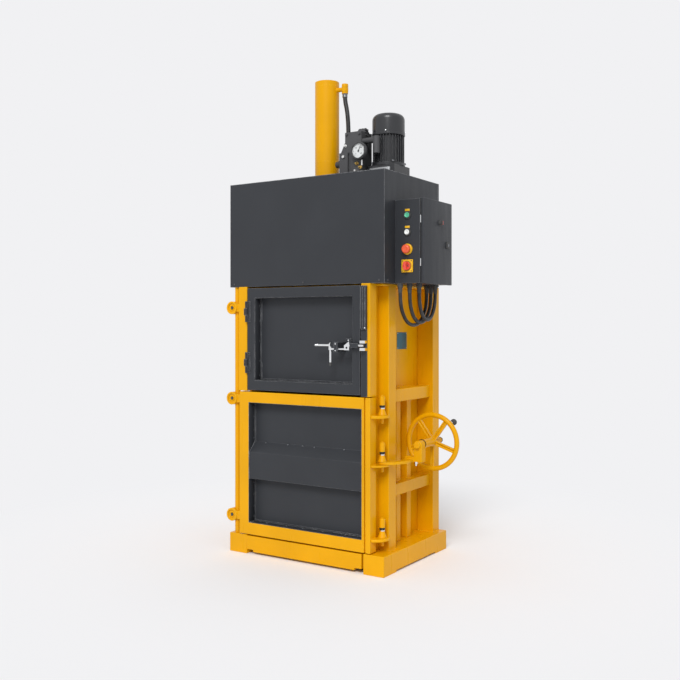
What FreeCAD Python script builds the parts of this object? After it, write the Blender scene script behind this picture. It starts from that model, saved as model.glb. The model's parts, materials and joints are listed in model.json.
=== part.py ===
import FreeCAD, Part
import math
import os
import Sketcher
from FreeCAD import Placement, Rotation, Vector

# Vertical cardboard baler, in millimetres
# Origin on the floor under the middle of the base; +X to the right, +Y to the back, +Z up

DOC = FreeCAD.newDocument("VerticalBaler")
SHEET = DOC.addObject("Spreadsheet::Sheet", "Sizes")
PIECES = []


class Size(float):
    """A number that remembers the sheet formula it comes from."""

    def __new__(cls, value, formula):
        self = float.__new__(cls, value)
        self.formula = formula
        return self

    def __add__(self, other):
        return Size(float(self) + float(other), "(%s + %s)" % (self.formula, formula_of(other)))

    def __radd__(self, other):
        return Size(float(other) + float(self), "(%s + %s)" % (formula_of(other), self.formula))

    def __sub__(self, other):
        return Size(float(self) - float(other), "(%s - %s)" % (self.formula, formula_of(other)))

    def __rsub__(self, other):
        return Size(float(other) - float(self), "(%s - %s)" % (formula_of(other), self.formula))

    def __mul__(self, other):
        return Size(float(self) * float(other), "(%s * %s)" % (self.formula, formula_of(other)))

    __rmul__ = __mul__

    def __truediv__(self, other):
        return Size(float(self) / float(other), "(%s / %s)" % (self.formula, formula_of(other)))

    def __neg__(self):
        return Size(-float(self), "(-1 * %s)" % self.formula)


def formula_of(number):
    return number.formula if isinstance(number, Size) else repr(float(number))


def size(name, value, meaning):
    """Adds one driving dimension to the sheet and returns it."""
    row = size.row
    SHEET.set("A%d" % row, meaning)
    SHEET.set("B%d" % row, str(value))
    SHEET.setAlias("B%d" % row, name)
    size.row = row + 1
    return Size(value, "Sizes." + name)


size.row = 1


def cosine(angle):
    return Size(math.cos(math.radians(angle)), "cos(%s)" % formula_of(angle))


def sine(angle):
    return Size(math.sin(math.radians(angle)), "sin(%s)" % formula_of(angle))


def bind(thing, prop, number):
    """Sets a property to a number and ties it to the sheet."""
    if isinstance(number, Size):
        thing.setExpression(prop, number.formula)
    elif "." not in prop:
        setattr(thing, prop, number)


def place(thing, at, rotation=None):
    """Puts a thing at a point whose coordinates stay tied to the sheet."""
    turn = rotation if rotation is not None else Rotation()
    thing.Placement = Placement(Vector(*[float(number) for number in at]), turn)
    for axis, number in zip("xyz", at):
        bind(thing, "Placement.Base." + axis, number)
    return thing


def piece(thing, name):
    """Marks a thing as a piece of the baler, under its own name."""
    thing.Label = name
    PIECES.append(thing)
    return thing


# Driving dimensions

# Base
base_margin = size("base_margin", 43.5, "width of the base beyond the posts on each side")
base_deep = size("base_deep", 738, "depth of the base")
base_high = size("base_high", 109, "height of the base")
skid_wide = size("skid_wide", 126.5, "width of one skid")
skid_foot = size("skid_foot", 138, "length of a skid's foot at each end")
skid_lift = size("skid_lift", 10, "height of the skid's underside between its feet")
rail_thick = size("rail_thick", 40, "thickness of the front and rear rails")
rail_lift = size("rail_lift", 14, "height of the rails above the ground")
rail_drop = size("rail_drop", 4, "drop of the front rail's top below the skids")
rail_gap = size("rail_gap", 12, "gap at the right end of the front rail")
rail_notch = size("rail_notch", 45, "length of the notch at each end of the front rail")
rail_notch_high = size("rail_notch_high", 12, "height of the notch")
beam_wide = size("beam_wide", 90, "width of the cross beam")
floor_thick = size("floor_thick", 12, "thickness of the chamber floor")

# Posts and walls
post_inner = size("post_inner", 375, "distance of a post's inner face from the middle")
post_wide = size("post_wide", 105, "width of a post, across")
post_wall = size("post_wall", 6, "wall of a post")
front_post_y = size("front_post_y", -240, "front face of the front posts")
front_post_deep = size("front_post_deep", 80, "depth of the front posts")
rear_post_y = size("rear_post_y", 279, "front face of the rear posts")
rear_post_deep = size("rear_post_deep", 80, "depth of the rear posts")
wall_thick = size("wall_thick", 6, "thickness of the chamber walls")
wall_back = size("wall_back", 335, "front face of the rear wall")
band_reach = size("band_reach", 83, "reach of the side bands out of the wall")
band_low = size("band_low", 385, "underside of the lower band")
band_low_high = size("band_low_high", 65, "height of the lower band")
band_top = size("band_top", 902, "underside of the upper band")
band_top_high = size("band_top_high", 70, "height of the upper band")
rib_reach = size("rib_reach", 40, "reach of the upright ribs out of the wall")
rib_one_y = size("rib_one_y", -40, "front face of the first upright rib")
rib_two_y = size("rib_two_y", 82, "front face of the second upright rib")
rib_wide = size("rib_wide", 47, "width of an upright rib")
rear_band_reach = size("rear_band_reach", 18, "reach of the rear bands out of the rear wall")
rear_rib_x = size("rear_rib_x", 125, "distance of the rear ribs from the middle")
channel_reach = size("channel_reach", 39, "width of the front channels beside the chamber")
channel_wall = size("channel_wall", 6, "wall of the front channels")
frame_front = size("frame_front", -302, "front face of the chamber")
crown_thick = size("crown_thick", 12, "thickness of the top frame")
crown_hole = size("crown_hole", 82, "diameter of the rod's hole in the top frame")

# Hood
hood_margin = size("hood_margin", 45, "width of the hood beyond the posts on each side")
hood_front = size("hood_front", -364, "front face of the hood")
hood_deep = size("hood_deep", 632, "depth of the hood")
hood_under = size("hood_under", 1549.5, "underside of the hood")
hood_high = size("hood_high", 600.5, "height of the hood")
hood_sheet = size("hood_sheet", 3, "sheet of the hood")
seam_in = size("seam_in", 18, "distance of the side seam from the hood's rear face")
seam_wide = size("seam_wide", 3, "width of the side seam")
seam_deep = size("seam_deep", 1.2, "depth of the side seam")
hood_flange = size("hood_flange", 60, "width of the hood's bottom flange")

# Doors
door_front = size("door_front", -369, "front face of both doors")
door_deep = size("door_deep", 62, "depth of both doors")
bale_lap_left = size("bale_lap_left", 76, "lap of the bale door over the chamber's left edge")
bale_lap_right = size("bale_lap_right", 65, "lap of the bale door over the chamber's right edge")
bale_low = size("bale_low", 114.5, "bottom of the bale door")
bale_high = size("bale_high", 826, "height of the bale door")
bale_stile = size("bale_stile", 68, "width of the bale door's left stile")
bale_right_stile = size("bale_right_stile", 53, "width of the bale door's right stile")
bale_bottom_rail = size("bale_bottom_rail", 68, "height of the bale door's bottom rail")
bale_top_rail = size("bale_top_rail", 61, "height of the bale door's top rail")
bale_panel = size("bale_panel", 4, "sheet of the bale door's panel")
groove_in = size("groove_in", 39, "distance of the groove's left edge from the door's right edge")
groove_wide = size("groove_wide", 11, "width of the groove")
groove_deep = size("groove_deep", 14, "depth of the groove")
ledge_low = size("ledge_low", 438, "bottom of the ledge across the bale door")
ledge_fold = size("ledge_fold", 592, "height of the ledge's fold")
ledge_top = size("ledge_top", 648, "top of the ledge's slope")
ledge_reach = size("ledge_reach", 54, "reach of the ledge out of the panel")
hinge_out = size("hinge_out", 37.5, "distance of the hinge bar's axis outside the bale door")
hinge_y = size("hinge_y", -338, "axis of the bale door's hinge bar, along")
hinge_bar = size("hinge_bar", 33, "diameter of the hinge bar")
pin_play = size("pin_play", 0.1, "radial play of a pin in its eye")
boss_dia = size("boss_dia", 75, "diameter of a hinge boss")
boss_out = size("boss_out", 19.5, "distance of a boss's middle outside the hinge bar's axis")
boss_front = size("boss_front", -373, "front face of a hinge boss")
boss_deep = size("boss_deep", 57, "depth of a hinge boss")
boss_dish = size("boss_dish", 7, "depth of the dish in a boss's face")
boss_rim = size("boss_rim", 10, "width of the rim round the dish")
boss_low_z = size("boss_low_z", 215, "height of the lowest boss")
boss_mid_z = size("boss_mid_z", 898, "height of the middle boss")
boss_top_z = size("boss_top_z", 1429, "height of the top boss")
ear_high = size("ear_high", 46, "height of the strap from a boss to its door or jamb")

# Lugs and pins on the right of the bale door
pin_out = size("pin_out", 25, "distance of the lug pins' axis outside the bale door")
pin_y = size("pin_y", -284, "axis of the lug pins, along")
pin_dia = size("pin_dia", 18, "diameter of a lug pin")
pin_drop = size("pin_drop", 32, "length of a pin below its lug")
lug_reach = size("lug_reach", 84, "radius of a lug's front curve")
lug_thick = size("lug_thick", 15, "thickness of a lug")
lug_round = size("lug_round", 40, "radius of a lug's round end about its pin")
lug_inset = size("lug_inset", 6, "distance of a lug behind the door's face")
lug_nose = size("lug_nose", 8, "length of a lug's straight front edge")
lug_top_z = size("lug_top_z", 830, "underside of the top lug")
lug_mid_z = size("lug_mid_z", 571, "underside of the middle lug")
lug_low_z = size("lug_low_z", 175, "underside of the bottom lug")
mid_lug_thick = size("mid_lug_thick", 9, "thickness of the middle lug, under the arm")
sleeve_dia = size("sleeve_dia", 31, "diameter of a pin's sleeve")
sleeve_high = size("sleeve_high", 48, "height of a pin's sleeve")
collar_dia = size("collar_dia", 26, "diameter of the bright collar under a sleeve")
collar_high = size("collar_high", 20, "height of the bright collar")
cone_high = size("cone_high", 33, "height of the cone between lug and collar")
cone_dia = size("cone_dia", 48, "diameter of the cone's foot")
pin_bevel = size("pin_bevel", 3, "bevel round a pin's end")
sleeve_crown = size("sleeve_crown", 6, "rounding at the top of a sleeve")

# Lock arm, spindle and handwheel
arm_in = size("arm_in", 31, "distance of the arm's outer edge inside the handwheel's axis")
arm_wide = size("arm_wide", 50, "width of the arm beside the spindle's head")
arm_shoulder = size("arm_shoulder", 20, "length of the arm's straight front edge")
arm_sweep = size("arm_sweep", 160, "radius of the arm's outer curve")
arm_thick = size("arm_thick", 14, "thickness of the arm")
arm_eye = size("arm_eye", 19.5, "radius of the arm's eye on the pin")
arm_play = size("arm_play", 1, "gap between the arm and the middle lug")
wheel_out = size("wheel_out", 110, "distance of the handwheel's axis outside the posts")
wheel_y = size("wheel_y", 60, "middle of the handwheel's rim, along")
wheel_z = size("wheel_z", 674, "axis of the handwheel, height")
wheel_dia = size("wheel_dia", 328, "outer diameter of the handwheel")
rim_dia = size("rim_dia", 28, "diameter of the rim's tube")
spoke_wide = size("spoke_wide", 24, "width of a spoke")
spoke_deep = size("spoke_deep", 16, "depth of a spoke")
spoke_groove = size("spoke_groove", 10, "width of the groove along each face of a spoke")
spoke_web = size("spoke_web", 6, "thickness of a spoke between its grooves")
spoke_count = 5
spoke_turn = 18
hub_dia = size("hub_dia", 52, "diameter of the hub")
hub_long = size("hub_long", 60, "length of the hub")
spindle_dia = size("spindle_dia", 30, "diameter of the spindle")
spindle_front = size("spindle_front", -112, "front end of the spindle")
spindle_back = size("spindle_back", 150, "back end of the spindle")
clevis_y = size("clevis_y", -92, "middle of the spindle's head on the arm, along")
clevis_wide = size("clevis_wide", 46, "width, depth and diameter of that head")
root_high = size("root_high", 26, "height of the head's foot on the arm")
knob_dia = size("knob_dia", 36, "diameter of the boss in front of the head")
knob_long = size("knob_long", 16, "length of the boss in front of the head")
sleeve_out = size("sleeve_out", 50, "diameter of the spindle's sleeve between head and hub")
sleeve_gap = size("sleeve_gap", 3, "gap between the head and the sleeve")
stem_dia = size("stem_dia", 12, "diameter of the grip's stem")
stem_seat = size("stem_seat", 2, "depth of the stem's foot behind the middle of the rim")
grip_angle = size("grip_angle", 47, "angle of the grip on the rim")
grip_ball = size("grip_ball", 36, "diameter of the grip's ball")
grip_reach = size("grip_reach", 45, "distance of the ball behind the rim")

# Loading door and latch
load_lap_left = size("load_lap_left", 16, "lap of the loading door over the chamber's left edge")
load_lap_right = size("load_lap_right", 3, "lap of the loading door over the chamber's right edge")
load_low = size("load_low", 952, "bottom of the loading door")
load_high = size("load_high", 588, "height of the loading door")
load_stile = size("load_stile", 50, "width of the loading door's frame")
load_rail = size("load_rail", 56, "height of the loading door's rails")
load_sheet = size("load_sheet", 3, "sheet of the loading door's panel")
load_hinge_out = size("load_hinge_out", 2.5, "distance of the loading door's hinge axis outside the door")
load_hinge_y = size("load_hinge_y", -377, "axis of the loading door's hinges, along")
load_hinge_dia = size("load_hinge_dia", 15, "diameter of the loading door's hinge barrels")
load_pin_dia = size("load_pin_dia", 8, "diameter of the loading door's hinge pins")
load_hinge_top = size("load_hinge_top", 1345, "bottom of the upper hinge")
load_hinge_low = size("load_hinge_low", 1050, "bottom of the lower hinge")
load_hinge_high = size("load_hinge_high", 120, "height of a hinge")
load_leaf_wide = size("load_leaf_wide", 22, "width of a hinge leaf")
load_leaf_thick = size("load_leaf_thick", 4, "thickness of a hinge leaf")
latch_z = size("latch_z", 1218, "height of the latch bolt")
latch_bar_drop = size("latch_bar_drop", 20, "drop of the latch's lower bar below the bolt")
latch_bar_dia = size("latch_bar_dia", 11, "diameter of the latch's lower bar")
latch_plate = size("latch_plate", 10, "thickness of the latch's cam and bracket")
cam_wide = size("cam_wide", 18, "width of the cam on the handle")
cam_hollow = size("cam_hollow", 22, "radius of the hollow in the cam")
bracket_left_in = size("bracket_left_in", 88, "distance of the bracket's left edge from the door's edge")
bracket_wide = size("bracket_wide", 32, "width of the bracket")
bracket_rise = size("bracket_rise", 22, "height of the bracket's right edge above the bolt's axis")
bracket_hole = size("bracket_hole", 12, "diameter of the bracket's hole")
latch_y = size("latch_y", -386, "axis of the latch bolt, along")
latch_dia = size("latch_dia", 14, "diameter of the latch bolt")
latch_tail_in = size("latch_tail_in", 278, "distance of the latch bolt's left end from the door's edge")
latch_throw = size("latch_throw", 26, "reach of the latch bolt over the right jamb")
latch_handle_in = size("latch_handle_in", 178, "distance of the latch handle from the door's edge")
handle_dia = size("handle_dia", 14, "diameter of the latch's drop handle")
handle_long = size("handle_long", 66, "length of the drop handle's bar")
handle_tip = size("handle_tip", 20, "length of the drop handle's tip")
guide_in = size("guide_in", 150, "distance of the latch guide's left end from the door's edge")
keeper_wide = size("keeper_wide", 28, "width of the latch keeper")
keeper_high = size("keeper_high", 15, "height of each block of the keeper")
keeper_front = size("keeper_front", 18, "reach of the keeper in front of the bolt's axis")
keeper_play = size("keeper_play", 5, "gap between the bolt and each block of the keeper")
guide_long = size("guide_long", 22, "length of the latch guide")
guide_high = size("guide_high", 54, "height of the latch guide")
guide_front = size("guide_front", 11, "reach of the guide and strap in front of the bolt's axis")
strap_high = size("strap_high", 24, "height of the strap over the right stile")

# Upper jambs
jamb_out = size("jamb_out", 5, "reach of the left jamb beyond the bale door")
door_gap = size("door_gap", 5, "gap between the loading door and the left jamb")
latch_gap = size("latch_gap", 8, "gap between the loading door and the right jamb")
jamb_low = size("jamb_low", 946, "bottom of the jambs")
cover_wide = size("cover_wide", 38, "width of the cover strip on the right jamb")
cover_thick = size("cover_thick", 4, "thickness of the cover strip")
cover_box_low = size("cover_box_low", 1305, "bottom of the box on the cover strip")
cover_box_high = size("cover_box_high", 230, "height of the box on the cover strip")
cover_box_thick = size("cover_box_thick", 13, "thickness of the box on the cover strip")

# Ram, cylinder and drive
ram_x = size("ram_x", -20, "axis of the cylinder, across")
ram_y = size("ram_y", -92, "axis of the cylinder, along")
ram_dia = size("ram_dia", 141, "outer diameter of the cylinder")
ram_rise = size("ram_rise", 591, "height of the cylinder above the hood")
ram_flange = size("ram_flange", 230, "side of the cylinder's flange")
ram_flange_thick = size("ram_flange_thick", 30, "thickness of the cylinder's flange")
rod_dia = size("rod_dia", 80, "diameter of the ram's rod")
plate_drop = size("plate_drop", 37.5, "distance of the press plate below the top frame")
plate_thick = size("plate_thick", 60, "thickness of the press plate")
plate_gap = size("plate_gap", 9, "gap between the press plate and the walls")
motor_in = size("motor_in", 172, "distance of the motor's axis from the hood's right side")
motor_y = size("motor_y", -22, "axis of the motor, along")
motor_dia = size("motor_dia", 180, "diameter of the motor over its fins")
motor_core = size("motor_core", 158, "diameter of the motor under its fins")
motor_fin = size("motor_fin", 3.5, "thickness of a fin")
fin_count = 32
motor_rise = size("motor_rise", 90, "height of the motor's fins above the hood")
stator_high = size("stator_high", 155, "height of the motor's fins")
cowl_high = size("cowl_high", 124, "height of the fan cowl")
cowl_crown = size("cowl_crown", 34, "rounding at the cowl's top")
cowl_lap = size("cowl_lap", 4, "reach of the cowl beyond the fins")
end_plate = size("end_plate", 16, "thickness of the motor's end plate")
drum_dia = size("drum_dia", 188, "diameter of the motor's end plate")
bell_side = size("bell_side", 176, "side of the block under the motor")
valve_left = size("valve_left", 118, "left face of the valve block")
valve_wide = size("valve_wide", 138, "width of the valve block")
valve_front = size("valve_front", -160, "front face of the valve block")
valve_deep = size("valve_deep", 116, "depth of the valve block")
valve_high = size("valve_high", 240, "height of the hose's union above the hood")
valve_step = size("valve_step", 28, "height of the valve's top above the union")
valve_slope = size("valve_slope", 30, "width of the slanted shoulder")
valve_shoulder = size("valve_shoulder", 88, "drop of the shoulder's foot below the union")
valve_foot = size("valve_foot", 56, "width of the valve's lower block")
valve_proud = size("valve_proud", 14, "reach of the lower block in front of the body")
valve_head = size("valve_head", 46, "diameter and length of the pump head on top")
elbow_dia = size("elbow_dia", 40, "diameter of the elbow beside the motor")
elbow_out = size("elbow_out", 84, "distance of the elbow from the valve")
elbow_in = size("elbow_in", 24, "distance of the elbow's axis behind the valve's front")
elbow_drop = size("elbow_drop", 76, "length of the elbow below its arm")
solenoid_dia = size("solenoid_dia", 48, "diameter of the valve's solenoid")
solenoid_long = size("solenoid_long", 42, "length of the solenoid")
solenoid_rise = size("solenoid_rise", 95, "height of the solenoid's axis above the hood")
gauge_dia = size("gauge_dia", 100, "diameter of the pressure gauge")
gauge_deep = size("gauge_deep", 34, "depth of the pressure gauge")
gauge_bezel = size("gauge_bezel", 8, "width of the bezel round the gauge's dial")
gauge_dish = size("gauge_dish", 4, "depth of the dial behind the bezel")
gauge_x = size("gauge_x", 256, "middle of the pressure gauge, across")
gauge_rise = size("gauge_rise", 151, "height of the pressure gauge's middle above the hood")
hose_dia = size("hose_dia", 25, "diameter of the hydraulic hose")
hose_x = size("hose_x", 128, "foot of the hose, across")
hose_top_x = size("hose_top_x", 104, "top of the hose, across")
hose_drop = size("hose_drop", 81, "drop of the hose's top below the cylinder's top")
fitting_dia = size("fitting_dia", 36, "diameter of the fitting at the cylinder's top")
fitting_high = size("fitting_high", 56, "height of that fitting")

# Control box and cables
box_front = size("box_front", -250, "front face of the control box")
box_deep = size("box_deep", 328, "depth of the control box")
box_wide = size("box_wide", 150, "reach of the control box out of the hood")
box_high = size("box_high", 447, "height of the control box")
box_sheet = size("box_sheet", 3, "sheet of the control box")
box_door_gap = size("box_door_gap", 7, "gap between the control box and its door")
box_door_thick = size("box_door_thick", 18, "thickness of the control box's door")
box_door_lip = size("box_door_lip", 2, "overhang of the door round the box")
door_knob = size("door_knob", 24, "diameter of the knob on the control box's door")
door_knob_reach = size("door_knob_reach", 12, "reach of that knob")
door_knob_in = size("door_knob_in", 181, "distance of that knob from the box's front")
door_knob_drop = size("door_knob_drop", 30, "drop of that knob below the green button")
lock_wide = size("lock_wide", 30, "width of the lock on the control box's door")
lock_high = size("lock_high", 37, "height of that lock")
lock_reach = size("lock_reach", 8, "reach of that lock")
lock_in = size("lock_in", 272, "distance of that lock from the box's front")
lock_drop = size("lock_drop", 56, "drop of that lock below the white button")
box_hinge_high = size("box_hinge_high", 40, "height of a hinge of the control box's door")
hinge_play = size("hinge_play", 0.2, "play beside the control box's hinge barrels")
panel_in = size("panel_in", 76, "distance of the row of controls from the hood's side")
green_rise = size("green_rise", 361.5, "height of the green button above the control box's underside")
white_rise = size("white_rise", 271.5, "height of the white button above the control box's underside")
stop_rise = size("stop_rise", 180.5, "height of the emergency stop above the control box's underside")
switch_rise = size("switch_rise", 91.5, "height of the main switch above the control box's underside")
button_dia = size("button_dia", 28, "diameter of a button")
bezel_dia = size("bezel_dia", 40, "diameter of a button's bezel")
bezel_deep = size("bezel_deep", 8, "depth of a button's bezel")
stop_dia = size("stop_dia", 48, "diameter of the emergency stop")
stop_collar = size("stop_collar", 60, "diameter of the emergency stop's collar")
stop_stem = size("stop_stem", 26, "diameter of the emergency stop's stem")
stop_head = size("stop_head", 18, "thickness of the emergency stop's head")
button_play = size("button_play", 0.5, "play round a button")
button_travel = size("button_travel", 4, "travel of a button")
button_proud = size("button_proud", 5, "height of a button above its bezel")
switch_plate = size("switch_plate", 68, "side of the main switch's plate")
switch_dia = size("switch_dia", 46, "diameter of the main switch's disc")
switch_disc = size("switch_disc", 10, "thickness of the main switch's disc")
switch_grip = size("switch_grip", 16, "width and height of the main switch's grip bar")
cable_dia = size("cable_dia", 20, "diameter of a cable")
cable_out = size("cable_out", 23, "distance of the first cable from the hood's side")
cable_pitch = size("cable_pitch", 36, "step from one cable to the next, across")
cable_front = size("cable_front", -236, "front gland of the first cable, along")
cable_front_step = size("cable_front_step", 40, "step back of each next front gland")
cable_back = size("cable_back", 70, "rear gland of the first cable, along")
cable_back_step = size("cable_back_step", 18, "step forward of each next rear gland")
cable_drop = size("cable_drop", 205, "drop of the first cable's loop below its glands")
cable_drop_step = size("cable_drop_step", 15, "step up of each next loop")
gland_dia = size("gland_dia", 30, "diameter of a cable gland")
gland_high = size("gland_high", 22, "height of a cable gland")

# Heights and places worked out from the driving dimensions
post_outer = post_inner + post_wide
half_base = post_outer + base_margin
hood_side = post_outer + hood_margin
bale_left = -(post_inner + bale_lap_left)
bale_right = post_inner + bale_lap_right
groove_x = bale_right - groove_in
hinge_x = bale_left - hinge_out
boss_x = hinge_x - boss_out
pin_x = bale_right + pin_out
wheel_x = post_outer + wheel_out
load_left = -(post_inner + load_lap_left)
load_right = post_inner + load_lap_right
load_hinge_x = load_left - load_hinge_out
jamb_left_x = bale_left - jamb_out
jamb_left_edge = load_left - door_gap
jamb_right_x = load_right + latch_gap
latch_tail = load_right - latch_tail_in
latch_tip = jamb_right_x + latch_throw
latch_handle_x = load_right - latch_handle_in
guide_left = load_right - guide_in
panel_x = hood_side + panel_in
base_front = -base_deep / 2
base_back = base_deep / 2
skid_inner = half_base - skid_wide
crown_under = hood_under - crown_thick
wall_high = crown_under - base_high
door_back = door_front + door_deep
hood_top = hood_under + hood_high
plate_top = crown_under - plate_drop
ram_top = hood_top + ram_rise
hose_top_z = ram_top - hose_drop
motor_x = hood_side - motor_in
motor_foot = hood_top + motor_rise
motor_cowl_z = motor_foot + stator_high
gauge_z = hood_top + gauge_rise
box_under = hood_under
green_z = box_under + green_rise
white_z = box_under + white_rise
stop_z = box_under + stop_rise
switch_z = box_under + switch_rise


# Ways of making a shape

TURN = {"Z": Rotation(), "Y": Rotation(Vector(1, 0, 0), -90), "X": Rotation(Vector(0, 1, 0), 90)}


def box(name, x, y, z):
    """A plain block between two limits on each axis."""
    thing = DOC.addObject("Part::Box", name)
    bind(thing, "Length", x[1] - x[0])
    bind(thing, "Width", y[1] - y[0])
    bind(thing, "Height", z[1] - z[0])
    return place(thing, (x[0], y[0], z[0]))


def cylinder(name, foot, dia, length, axis="Z"):
    """A round bar from its foot along one axis."""
    thing = DOC.addObject("Part::Cylinder", name)
    bind(thing, "Radius", dia / 2)
    bind(thing, "Height", length)
    return place(thing, foot, TURN[axis])


def cone(name, foot, dia_foot, dia_tip, length, axis="Z"):
    thing = DOC.addObject("Part::Cone", name)
    bind(thing, "Radius1", dia_foot / 2)
    bind(thing, "Radius2", dia_tip / 2)
    bind(thing, "Height", length)
    return place(thing, foot, TURN[axis])


def join(name, parts):
    thing = DOC.addObject("Part::MultiFuse", name)
    thing.Shapes = parts
    return thing


def group(name, parts):
    """Like pieces that don't touch, kept as one object."""
    thing = DOC.addObject("Part::Compound", name)
    thing.Links = parts
    return thing


def cut(name, base, tools):
    thing = DOC.addObject("Part::Cut", name)
    thing.Base = base
    thing.Tool = tools[0] if len(tools) == 1 else join(name + "Tools", tools)
    return thing


def mirrored(name, source):
    """The same shape on the other side of the middle plane."""
    thing = DOC.addObject("Part::Mirroring", name)
    thing.Source = source
    thing.Base = Vector(0, 0, 0)
    thing.Normal = Vector(1, 0, 0)
    return thing


def both_sides(name, source):
    return group(name, [source, mirrored(name + "Twin", source)])


def new_body(name):
    return DOC.addObject("PartDesign::Body", name)


def origin_feature(owner, role):
    for feature in owner.Origin.OriginFeatures:
        if feature.Role == role:
            return feature
    raise ValueError(role)


def sketch_on(owner, name, role, offset=0):
    """A sketch on one of the body's own planes, or at a distance along its normal."""
    sketch = owner.newObject("Sketcher::SketchObject", name)
    sketch.AttachmentSupport = [(origin_feature(owner, role), "")]
    sketch.MapMode = "FlatFace"
    sketch.AttachmentOffset = Placement(Vector(0, 0, float(offset)), Rotation())
    bind(sketch, "AttachmentOffset.Base.z", offset)
    return sketch


def tie(sketch, kind, index, end, number):
    """Ties one end of a line, or a centre, to the sketch's origin."""
    value = float(number)
    if value == 0 and not isinstance(number, Size):
        axis = -2 if kind == "DistanceX" else -1
        sketch.addConstraint(Sketcher.Constraint("PointOnObject", index, end, axis))
        return
    place_of = sketch.addConstraint(Sketcher.Constraint(kind, -1, 1, index, end, value))
    bind(sketch, "Constraints[%d]" % place_of, number)


def arc_between(start, end, radius):
    """An arc between two points; a positive radius turns left on the way, a negative one right."""
    chord = end - start
    middle = (start + end) / 2
    rise = math.sqrt(radius * radius - (chord.Length / 2) ** 2)
    left = Vector(-chord.y, chord.x, 0).normalize()
    centre = middle + left * math.copysign(rise, radius)
    ends = (start, end) if radius > 0 else (end, start)
    angles = [math.atan2(point.y - centre.y, point.x - centre.x) for point in ends]
    return Part.ArcOfCircle(Part.Circle(centre, Vector(0, 0, 1), abs(radius)), *angles)


def outline(sketch, points):
    """A closed outline; a point with a third value starts an arc of that radius, others a line."""
    count = len(points)
    first = sketch.GeometryCount
    ends = []
    for number in range(count):
        start = Vector(*[float(value) for value in points[number][:2]], 0)
        end = Vector(*[float(value) for value in points[(number + 1) % count][:2]], 0)
        if len(points[number]) == 3:
            radius = float(points[number][2])
            sketch.addGeometry(arc_between(start, end, radius), False)
            ends.append((1, 2) if radius > 0 else (2, 1))
        else:
            sketch.addGeometry(Part.LineSegment(start, end), False)
            ends.append((1, 2))
    for number in range(count):
        after = (number + 1) % count
        sketch.addConstraint(Sketcher.Constraint(
            "Coincident", first + number, ends[number][1], first + after, ends[after][0]
        ))
    for number, point in enumerate(points):
        tie(sketch, "DistanceX", first + number, ends[number][0], point[0])
        tie(sketch, "DistanceY", first + number, ends[number][0], point[1])
        if len(point) == 3:
            held = sketch.addConstraint(Sketcher.Constraint("Radius", first + number, abs(float(point[2]))))
            if isinstance(point[2], Size):
                bind(sketch, "Constraints[%d]" % held, point[2] if float(point[2]) > 0 else -point[2])


def circle(sketch, centre, radius):
    middle = Vector(float(centre[0]), float(centre[1]), 0)
    index = sketch.addGeometry(Part.Circle(middle, Vector(0, 0, 1), float(radius)), False)
    tie(sketch, "DistanceX", index, 3, centre[0])
    tie(sketch, "DistanceY", index, 3, centre[1])
    held = sketch.addConstraint(Sketcher.Constraint("Radius", index, float(radius)))
    bind(sketch, "Constraints[%d]" % held, radius)


def rectangle(across, up):
    """The four corners of a rectangle between two limits each way."""
    return [(across[0], up[0]), (across[1], up[0]), (across[1], up[1]), (across[0], up[1])]


def pad(owner, name, role, start, length, outlines):
    """A profile pushed along the plane's normal; inner outlines are holes."""
    sketch = sketch_on(owner, name + "Sketch", role, start)
    for points in outlines:
        outline(sketch, points)
    feature = owner.newObject("PartDesign::Pad", name)
    feature.Profile = sketch
    bind(feature, "Length", length)
    sketch.Visibility = False
    return feature


def section(name, role, start, length, outlines):
    """A body that is one profile pushed out along a plane's normal."""
    owner = new_body(name)
    pad(owner, name + "Pad", role, start, length, outlines)
    return owner


# The XZ plane's normal points to -Y, so a profile there starts at minus its back face


def across_depth(name, y, outlines):
    """A body with its profile seen from the front, between two limits in Y."""
    return section(name, "XZ_Plane", -y[1], y[1] - y[0], outlines)


def across_width(name, x, outlines):
    """A body with its profile seen from the side, between two limits in X."""
    return section(name, "YZ_Plane", x[0], x[1] - x[0], outlines)


def up_height(name, z, outlines):
    """A body with its profile seen from above, between two limits in Z."""
    return section(name, "XY_Plane", z[0], z[1] - z[0], outlines)


# Base

def base_skids():
    profile = [
        (base_front, 0),
        (base_front + skid_foot, 0),
        (base_front + skid_foot, skid_lift),
        (base_back - skid_foot, skid_lift),
        (base_back - skid_foot, 0),
        (base_back, 0),
        (base_back, base_high),
        (base_front, base_high),
    ]
    right = across_width("SkidRight", (skid_inner, half_base), [profile])
    return both_sides("Skids", right)


def base_rails():
    """The front and rear rails and the beam between them, each between the skids."""
    rail_top = base_high - rail_drop
    notch_top = rail_lift + rail_notch_high
    left = -skid_inner
    right = skid_inner - rail_gap
    profile = [
        (left, notch_top),
        (left + rail_notch, notch_top),
        (left + rail_notch, rail_lift),
        (right - rail_notch, rail_lift),
        (right - rail_notch, notch_top),
        (right, notch_top),
        (right, rail_top),
        (left, rail_top),
    ]
    front = across_depth("FrontRail", (base_front, base_front + rail_thick), [profile])
    rear = box(
        "RearRail",
        (-skid_inner, skid_inner),
        (base_back - rail_thick, base_back),
        (rail_lift, base_high - floor_thick),
    )
    beam = box(
        "CrossBeam",
        (-skid_inner, skid_inner),
        (-beam_wide / 2, beam_wide / 2),
        (0, base_high - floor_thick),
    )
    return group("Rails", [front, rear, beam])


def floor_plate():
    return box(
        "FloorPlate",
        (-skid_inner, skid_inner),
        (frame_front, base_back),
        (base_high - floor_thick, base_high),
    )


# Posts and chamber

def tube_section(name, x, y, z):
    """An upright square tube with an open inside."""
    inside_x = (x[0] + post_wall, x[1] - post_wall)
    inside_y = (y[0] + post_wall, y[1] - post_wall)
    return up_height(name, z, [rectangle(x, y), rectangle(inside_x, inside_y)])


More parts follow.
